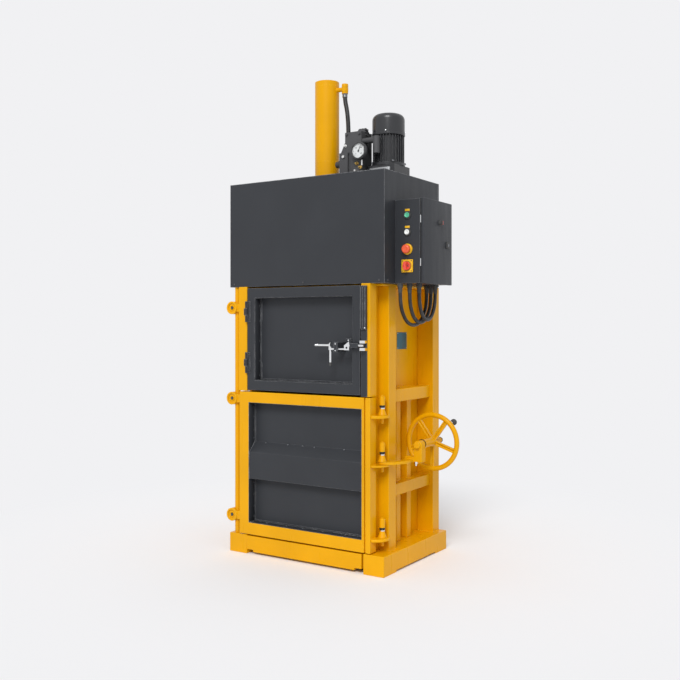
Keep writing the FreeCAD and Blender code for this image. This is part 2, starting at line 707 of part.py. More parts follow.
def corner_posts():
    z = (base_high, crown_under)
    x = (post_inner, post_outer)
    front_y = (front_post_y, front_post_y + front_post_deep)
    rear_y = (rear_post_y, rear_post_y + rear_post_deep)
    front = tube_section("FrontPost", x, front_y, z)
    rear = tube_section("RearPost", x, rear_y, z)
    return group("Posts", [
        front,
        mirrored("FrontPostTwin", front),
        rear,
        mirrored("RearPostTwin", rear),
    ])


def side_walls():
    right = box(
        "SideWall",
        (post_inner - wall_thick, post_inner),
        (frame_front, wall_back),
        (base_high, crown_under),
    )
    return both_sides("SideWalls", right)


def rear_wall():
    return box(
        "RearWall",
        (-post_inner, post_inner),
        (wall_back, wall_back + wall_thick),
        (base_high, crown_under),
    )


def side_lattices():
    """Two bands across each side wall, with upright ribs below the upper one."""
    back = front_post_y + front_post_deep
    span = (back, rear_post_y)
    reach = (post_inner, post_inner + band_reach)
    rib = (post_inner, post_inner + rib_reach)
    low_top = band_low + band_low_high
    parts = [
        box("LowBand", reach, span, (band_low, low_top)),
        box("TopBand", reach, span, (band_top, band_top + band_top_high)),
    ]
    for number, start in enumerate((rib_one_y, rib_two_y)):
        y = (start, start + rib_wide)
        parts.append(box("LowRib%d" % number, rib, y, (base_high, band_low)))
        parts.append(box("TopRib%d" % number, rib, y, (low_top, band_top)))
    side = join("SideLattice", parts)
    return [side, mirrored("SideLatticeTwin", side)]


def rear_lattice():
    face = wall_back + wall_thick
    depth = (face, face + rear_band_reach)
    low_top = band_low + band_low_high
    parts = [
        box("RearLowBand", (-post_inner, post_inner), depth, (band_low, low_top)),
        box("RearTopBand", (-post_inner, post_inner), depth, (band_top, band_top + band_top_high)),
    ]
    for number, middle in enumerate((-rear_rib_x, rear_rib_x)):
        x = (middle - rib_wide / 2, middle + rib_wide / 2)
        parts.append(box("RearLowRib%d" % number, x, depth, (base_high, band_low)))
        parts.append(box("RearTopRib%d" % number, x, depth, (low_top, band_top)))
    return join("RearLattice", parts)


def wall_lattices():
    return group("WallLattices", side_lattices() + [rear_lattice()])


def front_channels():
    """Upright channels beside the chamber's mouth, open towards the posts."""
    x0 = post_inner
    x1 = post_inner + channel_reach
    y0 = frame_front
    y1 = front_post_y
    profile = [
        (x0, y0),
        (x1, y0),
        (x1, y1),
        (x1 - channel_wall, y1),
        (x1 - channel_wall, y0 + channel_wall),
        (x0, y0 + channel_wall),
    ]
    right = up_height("FrontChannel", (base_high, crown_under), [profile])
    return both_sides("FrontChannels", right)


def top_frame():
    hole = cylinder("CrownHole", (ram_x, ram_y, crown_under - 1), crown_hole, crown_thick + 2)
    plate = box(
        "CrownPlate",
        (-post_outer, post_outer),
        (frame_front, rear_post_y + rear_post_deep),
        (crown_under, hood_under),
    )
    return cut("Crown", plate, [hole])


# Upper door's jambs

def upper_jambs():
    """The jambs beside the loading door; the left one carries the top boss."""
    left = box(
        "LeftJamb",
        (jamb_left_x, jamb_left_edge),
        (door_front, frame_front),
        (jamb_low, hood_under),
    )
    right = box(
        "RightJamb",
        (jamb_right_x, bale_right),
        (door_front, frame_front),
        (jamb_low, hood_under),
    )
    drum, dish = boss("TopBoss", boss_top_z)
    ear = box(
        "TopEar",
        (hinge_x, jamb_left_x),
        (boss_front + boss_dish, boss_front + boss_deep),
        (boss_top_z - ear_high / 2, boss_top_z + ear_high / 2),
    )
    welded = join("LeftJambParts", [left, drum, ear])
    bored = cut("LeftJambShape", welded, [dish, bar_bore("TopBore", boss_top_z)])
    return group("Jambs", [bored, right])


def jamb_cover():
    """Dark strip on the right jamb's face, with a raised box at its top."""
    strip_front = door_front - cover_thick
    strip = box(
        "CoverStrip",
        (jamb_right_x, jamb_right_x + cover_wide),
        (strip_front, door_front),
        (jamb_low, crown_under),
    )
    raised = box(
        "CoverBox",
        (jamb_right_x, jamb_right_x + cover_wide),
        (strip_front - cover_box_thick, strip_front),
        (cover_box_low, cover_box_low + cover_box_high),
    )
    return join("JambCover", [strip, raised])


def latch_keeper():
    """Two blocks on the cover strip that the latch bolt's tip lies between."""
    x = (jamb_right_x + cover_wide - keeper_wide, jamb_right_x + cover_wide)
    y = (latch_y - keeper_front, door_front - cover_thick)
    clear = latch_dia / 2 + keeper_play
    return group("Keeper", [
        box("KeeperTop", x, y, (latch_z + clear, latch_z + clear + keeper_high)),
        box("KeeperLow", x, y, (latch_z - clear - keeper_high, latch_z - clear)),
    ])


# Hinge bar of the bale door

def boss(name, height):
    """A round boss facing the front, dished, with its pin."""
    body = cylinder(name + "Drum", (boss_x, boss_front, height), boss_dia, boss_deep, "Y")
    dish = cylinder(
        name + "Dish",
        (boss_x, boss_front - 1, height),
        boss_dia - boss_rim * 2,
        boss_dish + 1,
        "Y",
    )
    return body, dish


def bar_bore(name, height):
    return cylinder(
        name,
        (hinge_x, hinge_y, height - boss_dia),
        hinge_bar + pin_play * 2,
        boss_dia * 2,
    )


def hinge_post():
    return cylinder("HingeBar", (hinge_x, hinge_y, base_high), hinge_bar, hood_under - base_high)


# Hood

def hood():
    half = hood_side
    y = (hood_front, hood_front + hood_deep)
    outer = box("HoodOuter", (-half, half), y, (hood_under, hood_top))
    inner = box(
        "HoodInner",
        (-half + hood_sheet, half - hood_sheet),
        (y[0] + hood_sheet, y[1] - hood_sheet),
        (hood_under + hood_sheet, hood_top - hood_sheet),
    )
    mouth = box(
        "HoodMouth",
        (-half + hood_flange, half - hood_flange),
        (y[0] + hood_flange, y[1] - hood_flange),
        (hood_under - 1, hood_under + hood_sheet + 1),
    )
    hole = cylinder("HoodHole", (ram_x, ram_y, hood_top - hood_sheet * 2), ram_dia + 0.6, hood_sheet * 3)
    seam_y = (y[1] - seam_in, y[1] - seam_in + seam_wide)
    seams = [
        box("HoodSeam%d" % number, x, seam_y, (hood_under, hood_top))
        for number, x in enumerate(((-half, seam_deep - half), (half - seam_deep, half)))
    ]
    return cut("Hood", outer, [inner, mouth, hole] + seams)


# Ram and cylinder

def cylinder_tube():
    """The cylinder with its square foot and the hose's port near its top."""
    half = ram_flange / 2
    plate = box(
        "RamFlange",
        (ram_x - half, ram_x + half),
        (ram_y - half, ram_y + half),
        (hood_under, hood_under + ram_flange_thick),
    )
    hole = cylinder("RamFlangeHole", (ram_x, ram_y, hood_under - 1), rod_dia + 1, ram_flange_thick + 1)
    foot = hood_under + ram_flange_thick
    tube = cylinder("RamTube", (ram_x, ram_y, foot), ram_dia, ram_top - foot)
    upright = cylinder("FittingUpright", (hose_top_x, ram_y, hose_top_z), fitting_dia, fitting_high)
    port = cylinder(
        "FittingPort",
        (ram_x, ram_y, hose_top_z + fitting_high / 2),
        fitting_dia * 0.7,
        hose_top_x - ram_x,
        "X",
    )
    return cut("CylinderShape", join("CylinderParts", [plate, tube, upright, port]), [hole])


def piston_rod():
    foot = hood_under + ram_flange_thick
    return cylinder("Rod", (ram_x, ram_y, plate_top), rod_dia, foot - plate_top)


def press_plate():
    reach = post_inner - wall_thick - plate_gap
    return box(
        "PressPlate",
        (-reach, reach),
        (frame_front + plate_gap, wall_back - plate_gap),
        (plate_top - plate_thick, plate_top),
    )


# Power unit on the hood

def motor_foot_block():
    """The square block and round end plate that the stator stands on."""
    half = bell_side / 2
    bell = box(
        "MotorBell",
        (motor_x - half, motor_x + half),
        (motor_y - half, motor_y + half),
        (hood_top, motor_foot - end_plate),
    )
    disc = cylinder("MotorDisc", (motor_x, motor_y, motor_foot - end_plate), drum_dia, end_plate)
    return [bell, disc]


def motor_body():
    """The finned stator: one fin, turned round the motor's axis."""
    owner = new_body("MotorBody")
    core_sketch = sketch_on(owner, "MotorCoreSketch", "XY_Plane")
    circle(core_sketch, (0, 0), motor_core / 2)
    core = owner.newObject("PartDesign::Pad", "MotorCore")
    core.Profile = core_sketch
    bind(core, "Length", motor_cowl_z - motor_foot)
    fin = pad(owner, "MotorFin", "XY_Plane", 0, motor_cowl_z - motor_foot, [
        rectangle((motor_core / 2 - 4, motor_dia / 2), (-motor_fin / 2, motor_fin / 2)),
    ])
    DOC.recompute()
    ring = owner.newObject("PartDesign::PolarPattern", "MotorFins")
    ring.Originals = [fin]
    ring.Axis = (origin_feature(owner, "Z_Axis"), [""])
    ring.Angle = 360
    ring.Occurrences = fin_count
    owner.Tip = ring
    place(owner, (motor_x, motor_y, motor_foot))
    return join("MotorShape", motor_foot_block() + [owner])


def motor_cowl():
    """The fan cowl: a drum with a rounded crown, turned."""
    owner = new_body("MotorCowl")
    sketch = sketch_on(owner, "CowlSketch", "XZ_Plane")
    radius = motor_dia / 2 + cowl_lap
    outline(sketch, [
        (0, 0),
        (radius, 0),
        (radius, cowl_high - cowl_crown, cowl_crown),
        (radius - cowl_crown, cowl_high),
        (0, cowl_high),
    ])
    turned = owner.newObject("PartDesign::Revolution", "CowlTurned")
    turned.Profile = sketch
    turned.ReferenceAxis = (sketch, ["V_Axis"])
    turned.Angle = 360
    return place(owner, (motor_x, motor_y, motor_cowl_z))


def valve_block():
    """The valve's body with its slanted shoulder, pump head and elbow towards the motor."""
    right = valve_left + valve_wide
    back = valve_front + valve_deep
    top = hood_top + valve_high
    middle = valve_front + valve_deep / 2
    main = across_depth("ValveMain", (valve_front, back), [[
        (valve_left, hood_top),
        (right, hood_top),
        (right, top + valve_step),
        (valve_left + valve_slope, top + valve_step),
        (valve_left + valve_slope, top - valve_step),
        (valve_left, top - valve_shoulder),
    ]])
    lower = box(
        "ValveLower",
        (valve_left, valve_left + valve_foot),
        (valve_front - valve_proud, valve_front),
        (hood_top, top - valve_shoulder),
    )
    head = cylinder("PumpHead", (right - valve_head, middle, top + valve_step), valve_head, valve_head, "X")
    arm_z = top - valve_step
    arm_y = valve_front + elbow_in
    arm = cylinder("PumpArm", (right, arm_y, arm_z), elbow_dia * 0.85, elbow_out, "X")
    elbow = cylinder(
        "PumpElbow",
        (right + elbow_out, arm_y, arm_z - elbow_drop),
        elbow_dia,
        elbow_drop + elbow_dia / 2,
    )
    union = cylinder("HoseUnion", (hose_x, ram_y, top - valve_shoulder), fitting_dia, valve_shoulder)
    return join("ValveBlock", [main, lower, head, arm, elbow, union])


def solenoid():
    """The valve's coil with its smaller cap, lying out to the left."""
    y = valve_front + solenoid_dia / 2
    z = hood_top + solenoid_rise
    cap = solenoid_long * 0.55
    coil = cylinder("Coil", (valve_left - solenoid_long + cap, y, z), solenoid_dia, solenoid_long - cap, "X")
    end = cylinder("CoilCap", (valve_left - solenoid_long, y, z), solenoid_dia * 0.74, cap, "X")
    return join("Solenoid", [coil, end])


def pressure_gauge():
    """The gauge's case, turned: a bezel round a set-back dial, and its stem into the block."""
    owner = new_body("Gauge")
    sketch = sketch_on(owner, "GaugeSketch", "XY_Plane")
    rim = gauge_dia / 2
    outline(sketch, [
        (0, 0),
        (rim * 0.6, 0),
        (rim, gauge_deep * 0.3),
        (rim, gauge_deep - gauge_bezel / 2),
        (rim - gauge_bezel / 2, gauge_deep),
        (rim - gauge_bezel, gauge_deep),
        (rim - gauge_bezel, gauge_deep - gauge_dish),
        (0, gauge_deep - gauge_dish),
    ])
    turned = owner.newObject("PartDesign::Revolution", "GaugeTurned")
    turned.Profile = sketch
    turned.ReferenceAxis = (sketch, ["V_Axis"])
    turned.Angle = 360
    return place(owner, (gauge_x, valve_front, gauge_z), Rotation(Vector(0, 0, 1), 180))


# Control box

def control_box():
    """A sheet box on the hood's right side, open towards its door."""
    left = hood_side
    right = left + box_wide
    back = box_front + box_deep
    top = box_under + box_high
    outer = box("ControlOuter", (left, right), (box_front, back), (box_under, top))
    inner = box(
        "ControlInner",
        (left + box_sheet, right + 1),
        (box_front + box_sheet, back - box_sheet),
        (box_under + box_sheet, top - box_sheet),
    )
    return cut("ControlBox", outer, [inner])


def control_box_door():
    """The door's plate with its knob and its lock."""
    left = hood_side + box_wide + box_door_gap
    face = left + box_door_thick
    plate = box(
        "ControlDoor",
        (left, face),
        (box_front - box_door_lip, box_front + box_deep + box_door_lip),
        (box_under - box_door_lip, box_under + box_high + box_door_lip),
    )
    knob_foot = (face, box_front + door_knob_in, green_z - door_knob_drop)
    knob = cylinder("DoorKnob", knob_foot, door_knob, door_knob_reach, "X")
    half = lock_wide / 2
    middle = box_front + lock_in
    lock = box(
        "DoorLock",
        (face, face + lock_reach),
        (middle - half, middle + half),
        (white_z - lock_drop - lock_high / 2, white_z - lock_drop + lock_high / 2),
    )
    return join("ControlDoorParts", [plate, knob, lock])


def control_hinge():
    """Two blocks that carry the control box's door at its front edge."""
    right = hood_side + box_wide
    parts = []
    margin = box_high / 5
    low = box_under + margin
    high = box_under + box_high - margin - box_hinge_high
    for number, height in enumerate((low, high)):
        parts.append(cylinder(
            "ControlHinge%d" % number,
            (right + box_door_gap / 2, box_front + box_sheet / 2, height),
            box_door_gap - hinge_play * 2,
            box_hinge_high,
        ))
    return group("ControlHinges", parts)


def bezel(name, height, dia, bore):
    ring = cylinder(name + "Ring", (panel_x, box_front - bezel_deep, height), dia, bezel_deep, "Y")
    hole = cylinder(name + "Hole", (panel_x, box_front - bezel_deep - 1, height), bore, bezel_deep + 2, "Y")
    return cut(name, ring, [hole])


def bezels():
    """The rings, collar and plate that the controls sit in."""
    half = switch_plate / 2
    plate = box(
        "SwitchPlate",
        (panel_x - half, panel_x + half),
        (box_front - bezel_deep, box_front),
        (switch_z - half, switch_z + half),
    )
    return group("Bezels", [
        bezel("GreenBezel", green_z, bezel_dia, button_dia + button_play * 2),
        bezel("WhiteBezel", white_z, bezel_dia, button_dia + button_play * 2),
        bezel("StopCollar", stop_z, stop_collar, stop_stem + button_play * 2),
        plate,
    ])


def push_button(name, height):
    """A flush cap that slides in its ring and stops short of the box."""
    front = box_front - bezel_deep - button_proud
    back = box_front - button_travel - button_play
    return cylinder(name, (panel_x, front, height), button_dia, back - front, "Y")


def green_button():
    return push_button("GreenButton", green_z)


def white_button():
    return push_button("WhiteButton", white_z)


def stop_button():
    """A mushroom head on a stem that slides in the collar."""
    face = box_front - bezel_deep
    head_back = face - button_travel - button_play
    head = cylinder("StopHead", (panel_x, head_back - stop_head, stop_z), stop_dia, stop_head, "Y")
    stem_end = box_front - button_travel - button_play
    stem = cylinder("StopStem", (panel_x, head_back, stop_z), stop_stem, stem_end - head_back, "Y")
    return join("StopButton", [head, stem])


def main_switch():
    """A turning disc with a grip bar across it."""
    back = box_front - bezel_deep - button_play
    front = back - switch_disc
    disc = cylinder("SwitchDisc", (panel_x, front, switch_z), switch_dia, switch_disc, "Y")
    half = switch_grip / 2
    grip = box(
        "SwitchGrip",
        (panel_x - half, panel_x + half),
        (front - switch_grip, front),
        (switch_z - switch_dia / 2 + 2, switch_z + switch_dia / 2 - 2),
    )
    return join("MainSwitch", [disc, grip])


# Cables under the control box

CABLES = ("cable_1", "cable_2", "cable_3")


def cable_place(number):
    """A cable's place across, its two glands along Y, and the drop of its loop."""
    return (
        hood_side + cable_out + cable_pitch * number,
        cable_front + cable_front_step * number,
        cable_back - cable_back_step * number,
        cable_drop - cable_drop_step * number,
    )


def cable_points(number):
    """The corners of one hanging loop, seen from the side."""
    x, front, back, drop = [float(value) for value in cable_place(number)]
    low = float(box_under) - float(gland_high) - drop
    high = float(box_under) - float(gland_high)
    span = back - front
    return [
        (x, front, high),
        (x, front, high - 0.30 * drop),
        (x, front + 0.06 * span, high - 0.62 * drop),
        (x, front + 0.24 * span, low + 0.09 * drop),
        (x, front + 0.50 * span, low),
        (x, front + 0.75 * span, low + 0.10 * drop),
        (x, front + 0.94 * span, high - 0.60 * drop),
        (x, back, high - 0.30 * drop),
        (x, back, high),
    ]


def cord(name, points, dia):
    """A round cord along straight runs with arcs as large as the runs allow."""
    corners = [Vector(*point) for point in points]
    edges = []
    radii = []
    start = corners[0]
    for number in range(1, len(corners) - 1):
        here = corners[number]
        back = corners[number - 1] - here
        on = corners[number + 1] - here
        turn = math.pi - back.getAngle(on)
        reach = 0.45 * min(back.Length, on.Length)
        radius = reach / math.tan(turn / 2)
        radii.append(radius)
        back.normalize()
        on.normalize()
        first = here + back * reach
        last = here + on * reach
        inward = (back + on).normalize()
        middle = here + inward * (radius / math.cos(turn / 2) - radius)
        edges.append(Part.LineSegment(start, first).toShape())
        edges.append(Part.Arc(first, middle, last).toShape())
        start = last
    edges.append(Part.LineSegment(start, corners[-1]).toShape())
    path = Part.Wire(edges)
    heading = corners[1] - corners[0]
    ring = Part.Wire([Part.Circle(corners[0], heading, float(dia) / 2).toShape()])
    shape = path.makePipeShell([ring], True, False)
    expected = math.pi * (float(dia) / 2) ** 2 * path.Length
    print("%s: length %.0f, radii %s, volume ratio %.4f" % (
        name,
        path.Length,
        ", ".join("%.0f" % radius for radius in radii),
        shape.Volume / expected,
    ))
    thing = DOC.addObject("Part::Feature", name)
    thing.Shape = shape
    return thing


def cable_glands():
    parts = []
    for number in range(len(CABLES)):
        x, front, back, drop = cable_place(number)
        for end, y in enumerate((front, back)):
            parts.append(cylinder(
                "Gland%d%d" % (number, end),
                (x, y, box_under - gland_high),
                gland_dia,
                gland_high,
            ))
    return group("Glands", parts)


def hose():
    foot = float(hood_top + valve_high)
    top = float(hose_top_z)
    rise = top - foot
    x0 = float(hose_x)
    x1 = float(hose_top_x)
    y = float(ram_y)
    points = [
        (x0, y, foot),
        (x0, y, foot + 0.28 * rise),
        (x0 - 8, y, foot + 0.62 * rise),
        (x1, y, foot + 0.86 * rise),
        (x1, y, top),
    ]
    return cord("Hose", points, hose_dia)


# Bale door

def bale_door_frame():
    """Stiles and rails round the panel, with the groove and the hinge bosses."""
    owner = new_body("BaleFrame")
    top = bale_low + bale_high
    inner = rectangle(
        (bale_left + bale_stile, bale_right - bale_right_stile),
        (bale_low + bale_bottom_rail, top - bale_top_rail),
    )
    pad(owner, "BaleFramePad", "XZ_Plane", -door_back, door_deep, [
        rectangle((bale_left, bale_right), (bale_low, top)),
        inner,
    ])
    parts = [owner]
    dishes = []
    for name, height in (("LowBoss", boss_low_z), ("MidBoss", boss_mid_z)):
        drum, dish = boss(name, height)
        ear = box(
            name + "Ear",
            (hinge_x, bale_left),
            (boss_front + boss_dish, boss_front + boss_deep),
            (height - ear_high / 2, height + ear_high / 2),
        )
        parts += [drum, ear]
        dishes += [dish, bar_bore(name + "Bore", height)]
    groove = box(
        "BaleGroove",
        (groove_x, groove_x + groove_wide),
        (door_front - 1, door_front + groove_deep),
        (bale_low - 1, top + 1),
    )
    return cut("BaleDoorFrame", join("BaleFrameParts", parts), dishes + [groove])


def bale_door_panel():
    """The door's sheet with its folded ledge, one profile seen from the side."""
    x = (bale_left + bale_stile, bale_right - bale_right_stile)
    low = bale_low + bale_bottom_rail
    top = bale_low + bale_high - bale_top_rail
    back = door_back
    face = door_back - bale_panel
    fold = face - ledge_reach
    return across_width("BaleDoorPanel", x, [[
        (back, low),
        (face, low),
        (face, ledge_low),
        (fold, ledge_low),
        (fold, ledge_fold),
        (face, ledge_top),
        (face, top),
        (back, top),
    ]])


def lug(name, low, thick):
    """A lug plate seen from above: it curves out from the door's front corner round its pin."""
    left = bale_right
    return up_height(name, (low, low + thick), [[
        (left, door_front + lug_inset),
        (left + lug_nose, door_front + lug_inset, lug_reach),
        (pin_x + lug_round, pin_y, lug_round),
        (pin_x, pin_y + lug_round),
        (left, pin_y + lug_round),
    ]])


def door_lugs():
    plates = [
        lug("TopLug", lug_top_z, lug_thick),
        lug("MidLug", lug_mid_z, mid_lug_thick),
        lug("LowLug", lug_low_z, lug_thick),
    ]
    holes = []
    for number, low in enumerate((lug_top_z, lug_mid_z, lug_low_z)):
        holes.append(cylinder("LugHole%d" % number, (pin_x, pin_y, low - 1), pin_dia + 0.2, 30))
    return cut("Lugs", group("LugPlates", plates), holes)


def lug_pin(name, lug_low, lug_top):
    """A turned pin: its end below the lug, then cone, bright collar and sleeve above it."""
    owner = new_body(name)
    sketch = sketch_on(owner, name + "Sketch", "XZ_Plane")
    shaft = pin_dia / 2
    collar = collar_dia / 2
    sleeve = sleeve_dia / 2
    plate = lug_top - lug_low
    cone_top = plate + cone_high
    sleeve_foot = cone_top + collar_high
    sleeve_top = sleeve_foot + sleeve_high
    outline(sketch, [
        (0, -pin_drop),
        (shaft - pin_bevel, -pin_drop),
        (shaft, pin_bevel - pin_drop),
        (shaft, plate),
        (cone_dia / 2, plate),
        (collar, cone_top),
        (collar, sleeve_foot),
        (sleeve, sleeve_foot),
        (sleeve, sleeve_top - sleeve_crown, sleeve_crown),
        (sleeve - sleeve_crown, sleeve_top),
        (0, sleeve_top),
    ])
    turned = owner.newObject("PartDesign::Revolution", name + "Turned")
    turned.Profile = sketch
    turned.ReferenceAxis = (sketch, ["V_Axis"])
    turned.Angle = 360
    return place(owner, (pin_x, pin_y, lug_low))


def lug_pins():
    pins = []
    for name, low, top in (
        ("TopPin", lug_top_z, lug_top_z + lug_thick),
        ("MidPin", lug_mid_z, lug_mid_z + mid_lug_thick + arm_play + arm_thick + arm_play),
        ("LowPin", lug_low_z, lug_low_z + lug_thick),
    ):
        pins.append(lug_pin(name, low, top))
    return group("LugPins", pins)


# Lock arm

def lock_arm():
    """A flat arm that sweeps round the post, with an eye on the middle pin and the spindle's head."""
    low = lug_mid_z + mid_lug_thick + arm_play
    half = clevis_wide / 2
    back = clevis_y + half
    outer_x = wheel_x - arm_in
    inner_x = outer_x - arm_wide
    plate = up_height("ArmPlate", (low, low + arm_thick), [[
        (pin_x, pin_y - arm_eye),
        (pin_x + arm_shoulder, pin_y - arm_eye, arm_sweep),
        (outer_x, clevis_y - half),
        (outer_x, back),
        (inner_x, back),
        (inner_x, clevis_y - half, -arm_sweep + arm_wide),
        (pin_x, pin_y + arm_eye),
    ]])
    eye = cylinder("ArmEye", (pin_x, pin_y, low), arm_eye * 2, arm_thick)
    hole = cylinder("ArmHole", (pin_x, pin_y, low - 1), pin_dia + pin_play * 2, arm_thick + 2)
    root = box("ArmRoot", (inner_x, wheel_x + half), (clevis_y - half, back), (low, low + root_high))
    neck_z = (low + root_high, wheel_z)
    neck = box("ArmNeck", (wheel_x - half, wheel_x + half), (clevis_y - half, back), neck_z)
    head = cylinder("ArmHead", (wheel_x, clevis_y - half, wheel_z), clevis_wide, clevis_wide, "Y")
    knob = cylinder("ArmKnob", (wheel_x, clevis_y - half - knob_long, wheel_z), knob_dia, knob_long, "Y")
    bore = cylinder(
        "HeadBore",
        (wheel_x, spindle_front, wheel_z),
        spindle_dia + pin_play * 2,
        back - spindle_front + 1,
        "Y",
    )
    return cut("LockArm", join("ArmParts", [plate, eye, root, neck, head, knob]), [hole, bore])


def grip_spot(y):
    """The grip's place on the rim, at a distance along the axis."""
    reach = wheel_dia / 2 - rim_dia / 2
    return (wheel_x + reach * cosine(grip_angle), y, wheel_z + reach * sine(grip_angle))


def handwheel():
    """Spindle, hub and rim turned about the wheel's axis, with one ribbed spoke repeated round it."""
    owner = new_body("Handwheel")
    hub_sketch = sketch_on(owner, "HubSketch", "XY_Plane")
    shaft = spindle_dia / 2
    sleeve = sleeve_out / 2
    sleeve_start = clevis_y + clevis_wide / 2 + sleeve_gap - wheel_y
    outline(hub_sketch, [
        (0, spindle_front - wheel_y),
        (shaft, spindle_front - wheel_y),
        (shaft, sleeve_start),
        (sleeve, sleeve_start),
        (sleeve, -hub_long / 2),
        (hub_dia / 2, -hub_long / 2),
        (hub_dia / 2, hub_long / 2),
        (shaft, hub_long / 2),
        (shaft, spindle_back - wheel_y),
        (0, spindle_back - wheel_y),
    ])
    hub = owner.newObject("PartDesign::Revolution", "HubTurned")
    hub.Profile = hub_sketch
    hub.ReferenceAxis = (hub_sketch, ["V_Axis"])
    hub.Angle = 360
    deep = spoke_deep / 2
    web = spoke_web / 2
    side = spoke_wide / 2
    groove = spoke_groove / 2
    spoke = pad(owner, "Spoke", "YZ_Plane", 0, wheel_dia / 2 - rim_dia / 2, [[
        (-deep, -side),
        (deep, -side),
        (deep, -groove),
        (web, -groove),
        (web, groove),
        (deep, groove),
        (deep, side),
        (-deep, side),
        (-deep, groove),
        (-web, groove),
        (-web, -groove),
        (-deep, -groove),
    ]])
    DOC.recompute()
    spokes = owner.newObject("PartDesign::PolarPattern", "Spokes")
    spokes.Originals = [spoke]
    spokes.Axis = (origin_feature(owner, "Y_Axis"), [""])
    spokes.Angle = 360
    spokes.Occurrences = spoke_count
    owner.Tip = spokes
    rim_sketch = sketch_on(owner, "RimSketch", "XY_Plane")
    circle(rim_sketch, (wheel_dia / 2 - rim_dia / 2, 0), rim_dia / 2)
    rim = owner.newObject("PartDesign::Revolution", "Rim")
    rim.Profile = rim_sketch
    rim.ReferenceAxis = (rim_sketch, ["V_Axis"])
    rim.Angle = 360
    owner.Tip = rim
    place(owner, (wheel_x, wheel_y, wheel_z), Rotation(Vector(0, 1, 0), spoke_turn))
    socket = cylinder("GripSocket", grip_spot(wheel_y + stem_seat), stem_dia + pin_play * 2, rim_dia, "Y")
    return cut("WheelShape", owner, [socket])


def wheel_grip():
    """A black ball on a stem that sits in the back of the rim."""
    foot = wheel_y + stem_seat
    stem = cylinder("GripStem", grip_spot(foot), stem_dia, rim_dia / 2 - stem_seat + grip_reach, "Y")
    ball = DOC.addObject("Part::Sphere", "GripBall")
    bind(ball, "Radius", grip_ball / 2)
    place(ball, grip_spot(wheel_y + rim_dia / 2 + grip_reach))
    return join("Grip", [stem, ball])


# Loading door

def loading_door_frame():
    top = load_low + load_high
    return across_depth("LoadFrame", (door_front, door_back), [
        rectangle((load_left, load_right), (load_low, top)),
        rectangle((load_left + load_stile, load_right - load_stile), (load_low + load_rail, top - load_rail)),
    ])


def loading_door_panel():
    top = load_low + load_high
    return box(
        "LoadPanel",
        (load_left + load_stile, load_right - load_stile),
        (door_back - load_sheet, door_back),
        (load_low + load_rail, top - load_rail),
    )


def hinge_lows():
    return (("Low", load_hinge_low), ("Top", load_hinge_top))


def jamb_hinges():
    """The jamb's leaf, middle barrel and pin of each hinge."""
    third = load_hinge_high / 3
    hinges = []
    for name, low in hinge_lows():
        barrel = cylinder(
            "JambBarrel" + name,
            (load_hinge_x, load_hinge_y, low + third),
            load_hinge_dia,
            third,
        )
        pin = cylinder("JambPin" + name, (load_hinge_x, load_hinge_y, low), load_pin_dia, load_hinge_high)
        leaf = box(
            "JambLeaf" + name,
            (load_hinge_x - load_leaf_wide, load_hinge_x),
            (door_front - load_leaf_thick, door_front),
            (low + third, low + third * 2),
        )
        hinges.append(join("JambHinge" + name, [barrel, pin, leaf]))
    return group("JambHinges", hinges)


def loading_door_hinges():
    """The door's leaf and its two outer barrels of each hinge."""
    third = load_hinge_high / 3
    hinges = []
    for name, low in hinge_lows():
        parts = [box(
            "DoorLeaf" + name,
            (load_left, load_left + load_leaf_wide),
            (door_front - load_leaf_thick, door_front),
            (low, low + load_hinge_high),
        )]
        for end, foot in (("Foot", low), ("Head", low + third * 2 + pin_play)):
            parts.append(cylinder(
                "DoorBarrel" + name + end,
                (load_hinge_x, load_hinge_y, foot),
                load_hinge_dia,
                third - pin_play,
            ))
        bore = cylinder(
            "DoorBore" + name,
            (load_hinge_x, load_hinge_y, low - 1),
            load_pin_dia + pin_play * 2,
            load_hinge_high + 2,
        )
        room = cylinder(
            "DoorRoom" + name,
            (load_hinge_x, load_hinge_y, low + third - pin_play),
            load_hinge_dia + 1,
            third + pin_play * 2,
        )
        hinges.append(cut("DoorHinge" + name, join("DoorHingeParts" + name, parts), [bore, room]))
    return group("DoorHinges", hinges)


def latch_guide():
    """The block on the recessed panel and the strap on the stile that the latch slides in."""
    front = latch_y - guide_front
    middle = latch_z - latch_bar_drop / 2
    block = box(
        "GuideBlock",
        (guide_left, guide_left + guide_long),
        (front, door_back - load_sheet),
        (middle - guide_high / 2, middle + guide_high / 2),
    )
    bar_bore_foot = (guide_left - 1, latch_y, latch_z - latch_bar_drop)
    block_bore = cylinder("GuideBore", bar_bore_foot, latch_bar_dia + pin_play * 2, guide_long + 2, "X")
    strap_left = load_right - load_stile
    strap = box(
        "Strap",
        (strap_left, load_right),
        (front, door_front),
        (latch_z - strap_high / 2, latch_z + strap_high / 2),
    )
    bolt_bore_foot = (strap_left - 1, latch_y, latch_z)
    strap_bore = cylinder("StrapBore", bolt_bore_foot, latch_dia + pin_play * 2, load_stile + 2, "X")
    return group("LatchGuide", [
        cut("GuideShape", block, [block_bore]),
        cut("StrapShape", strap, [strap_bore]),
    ])


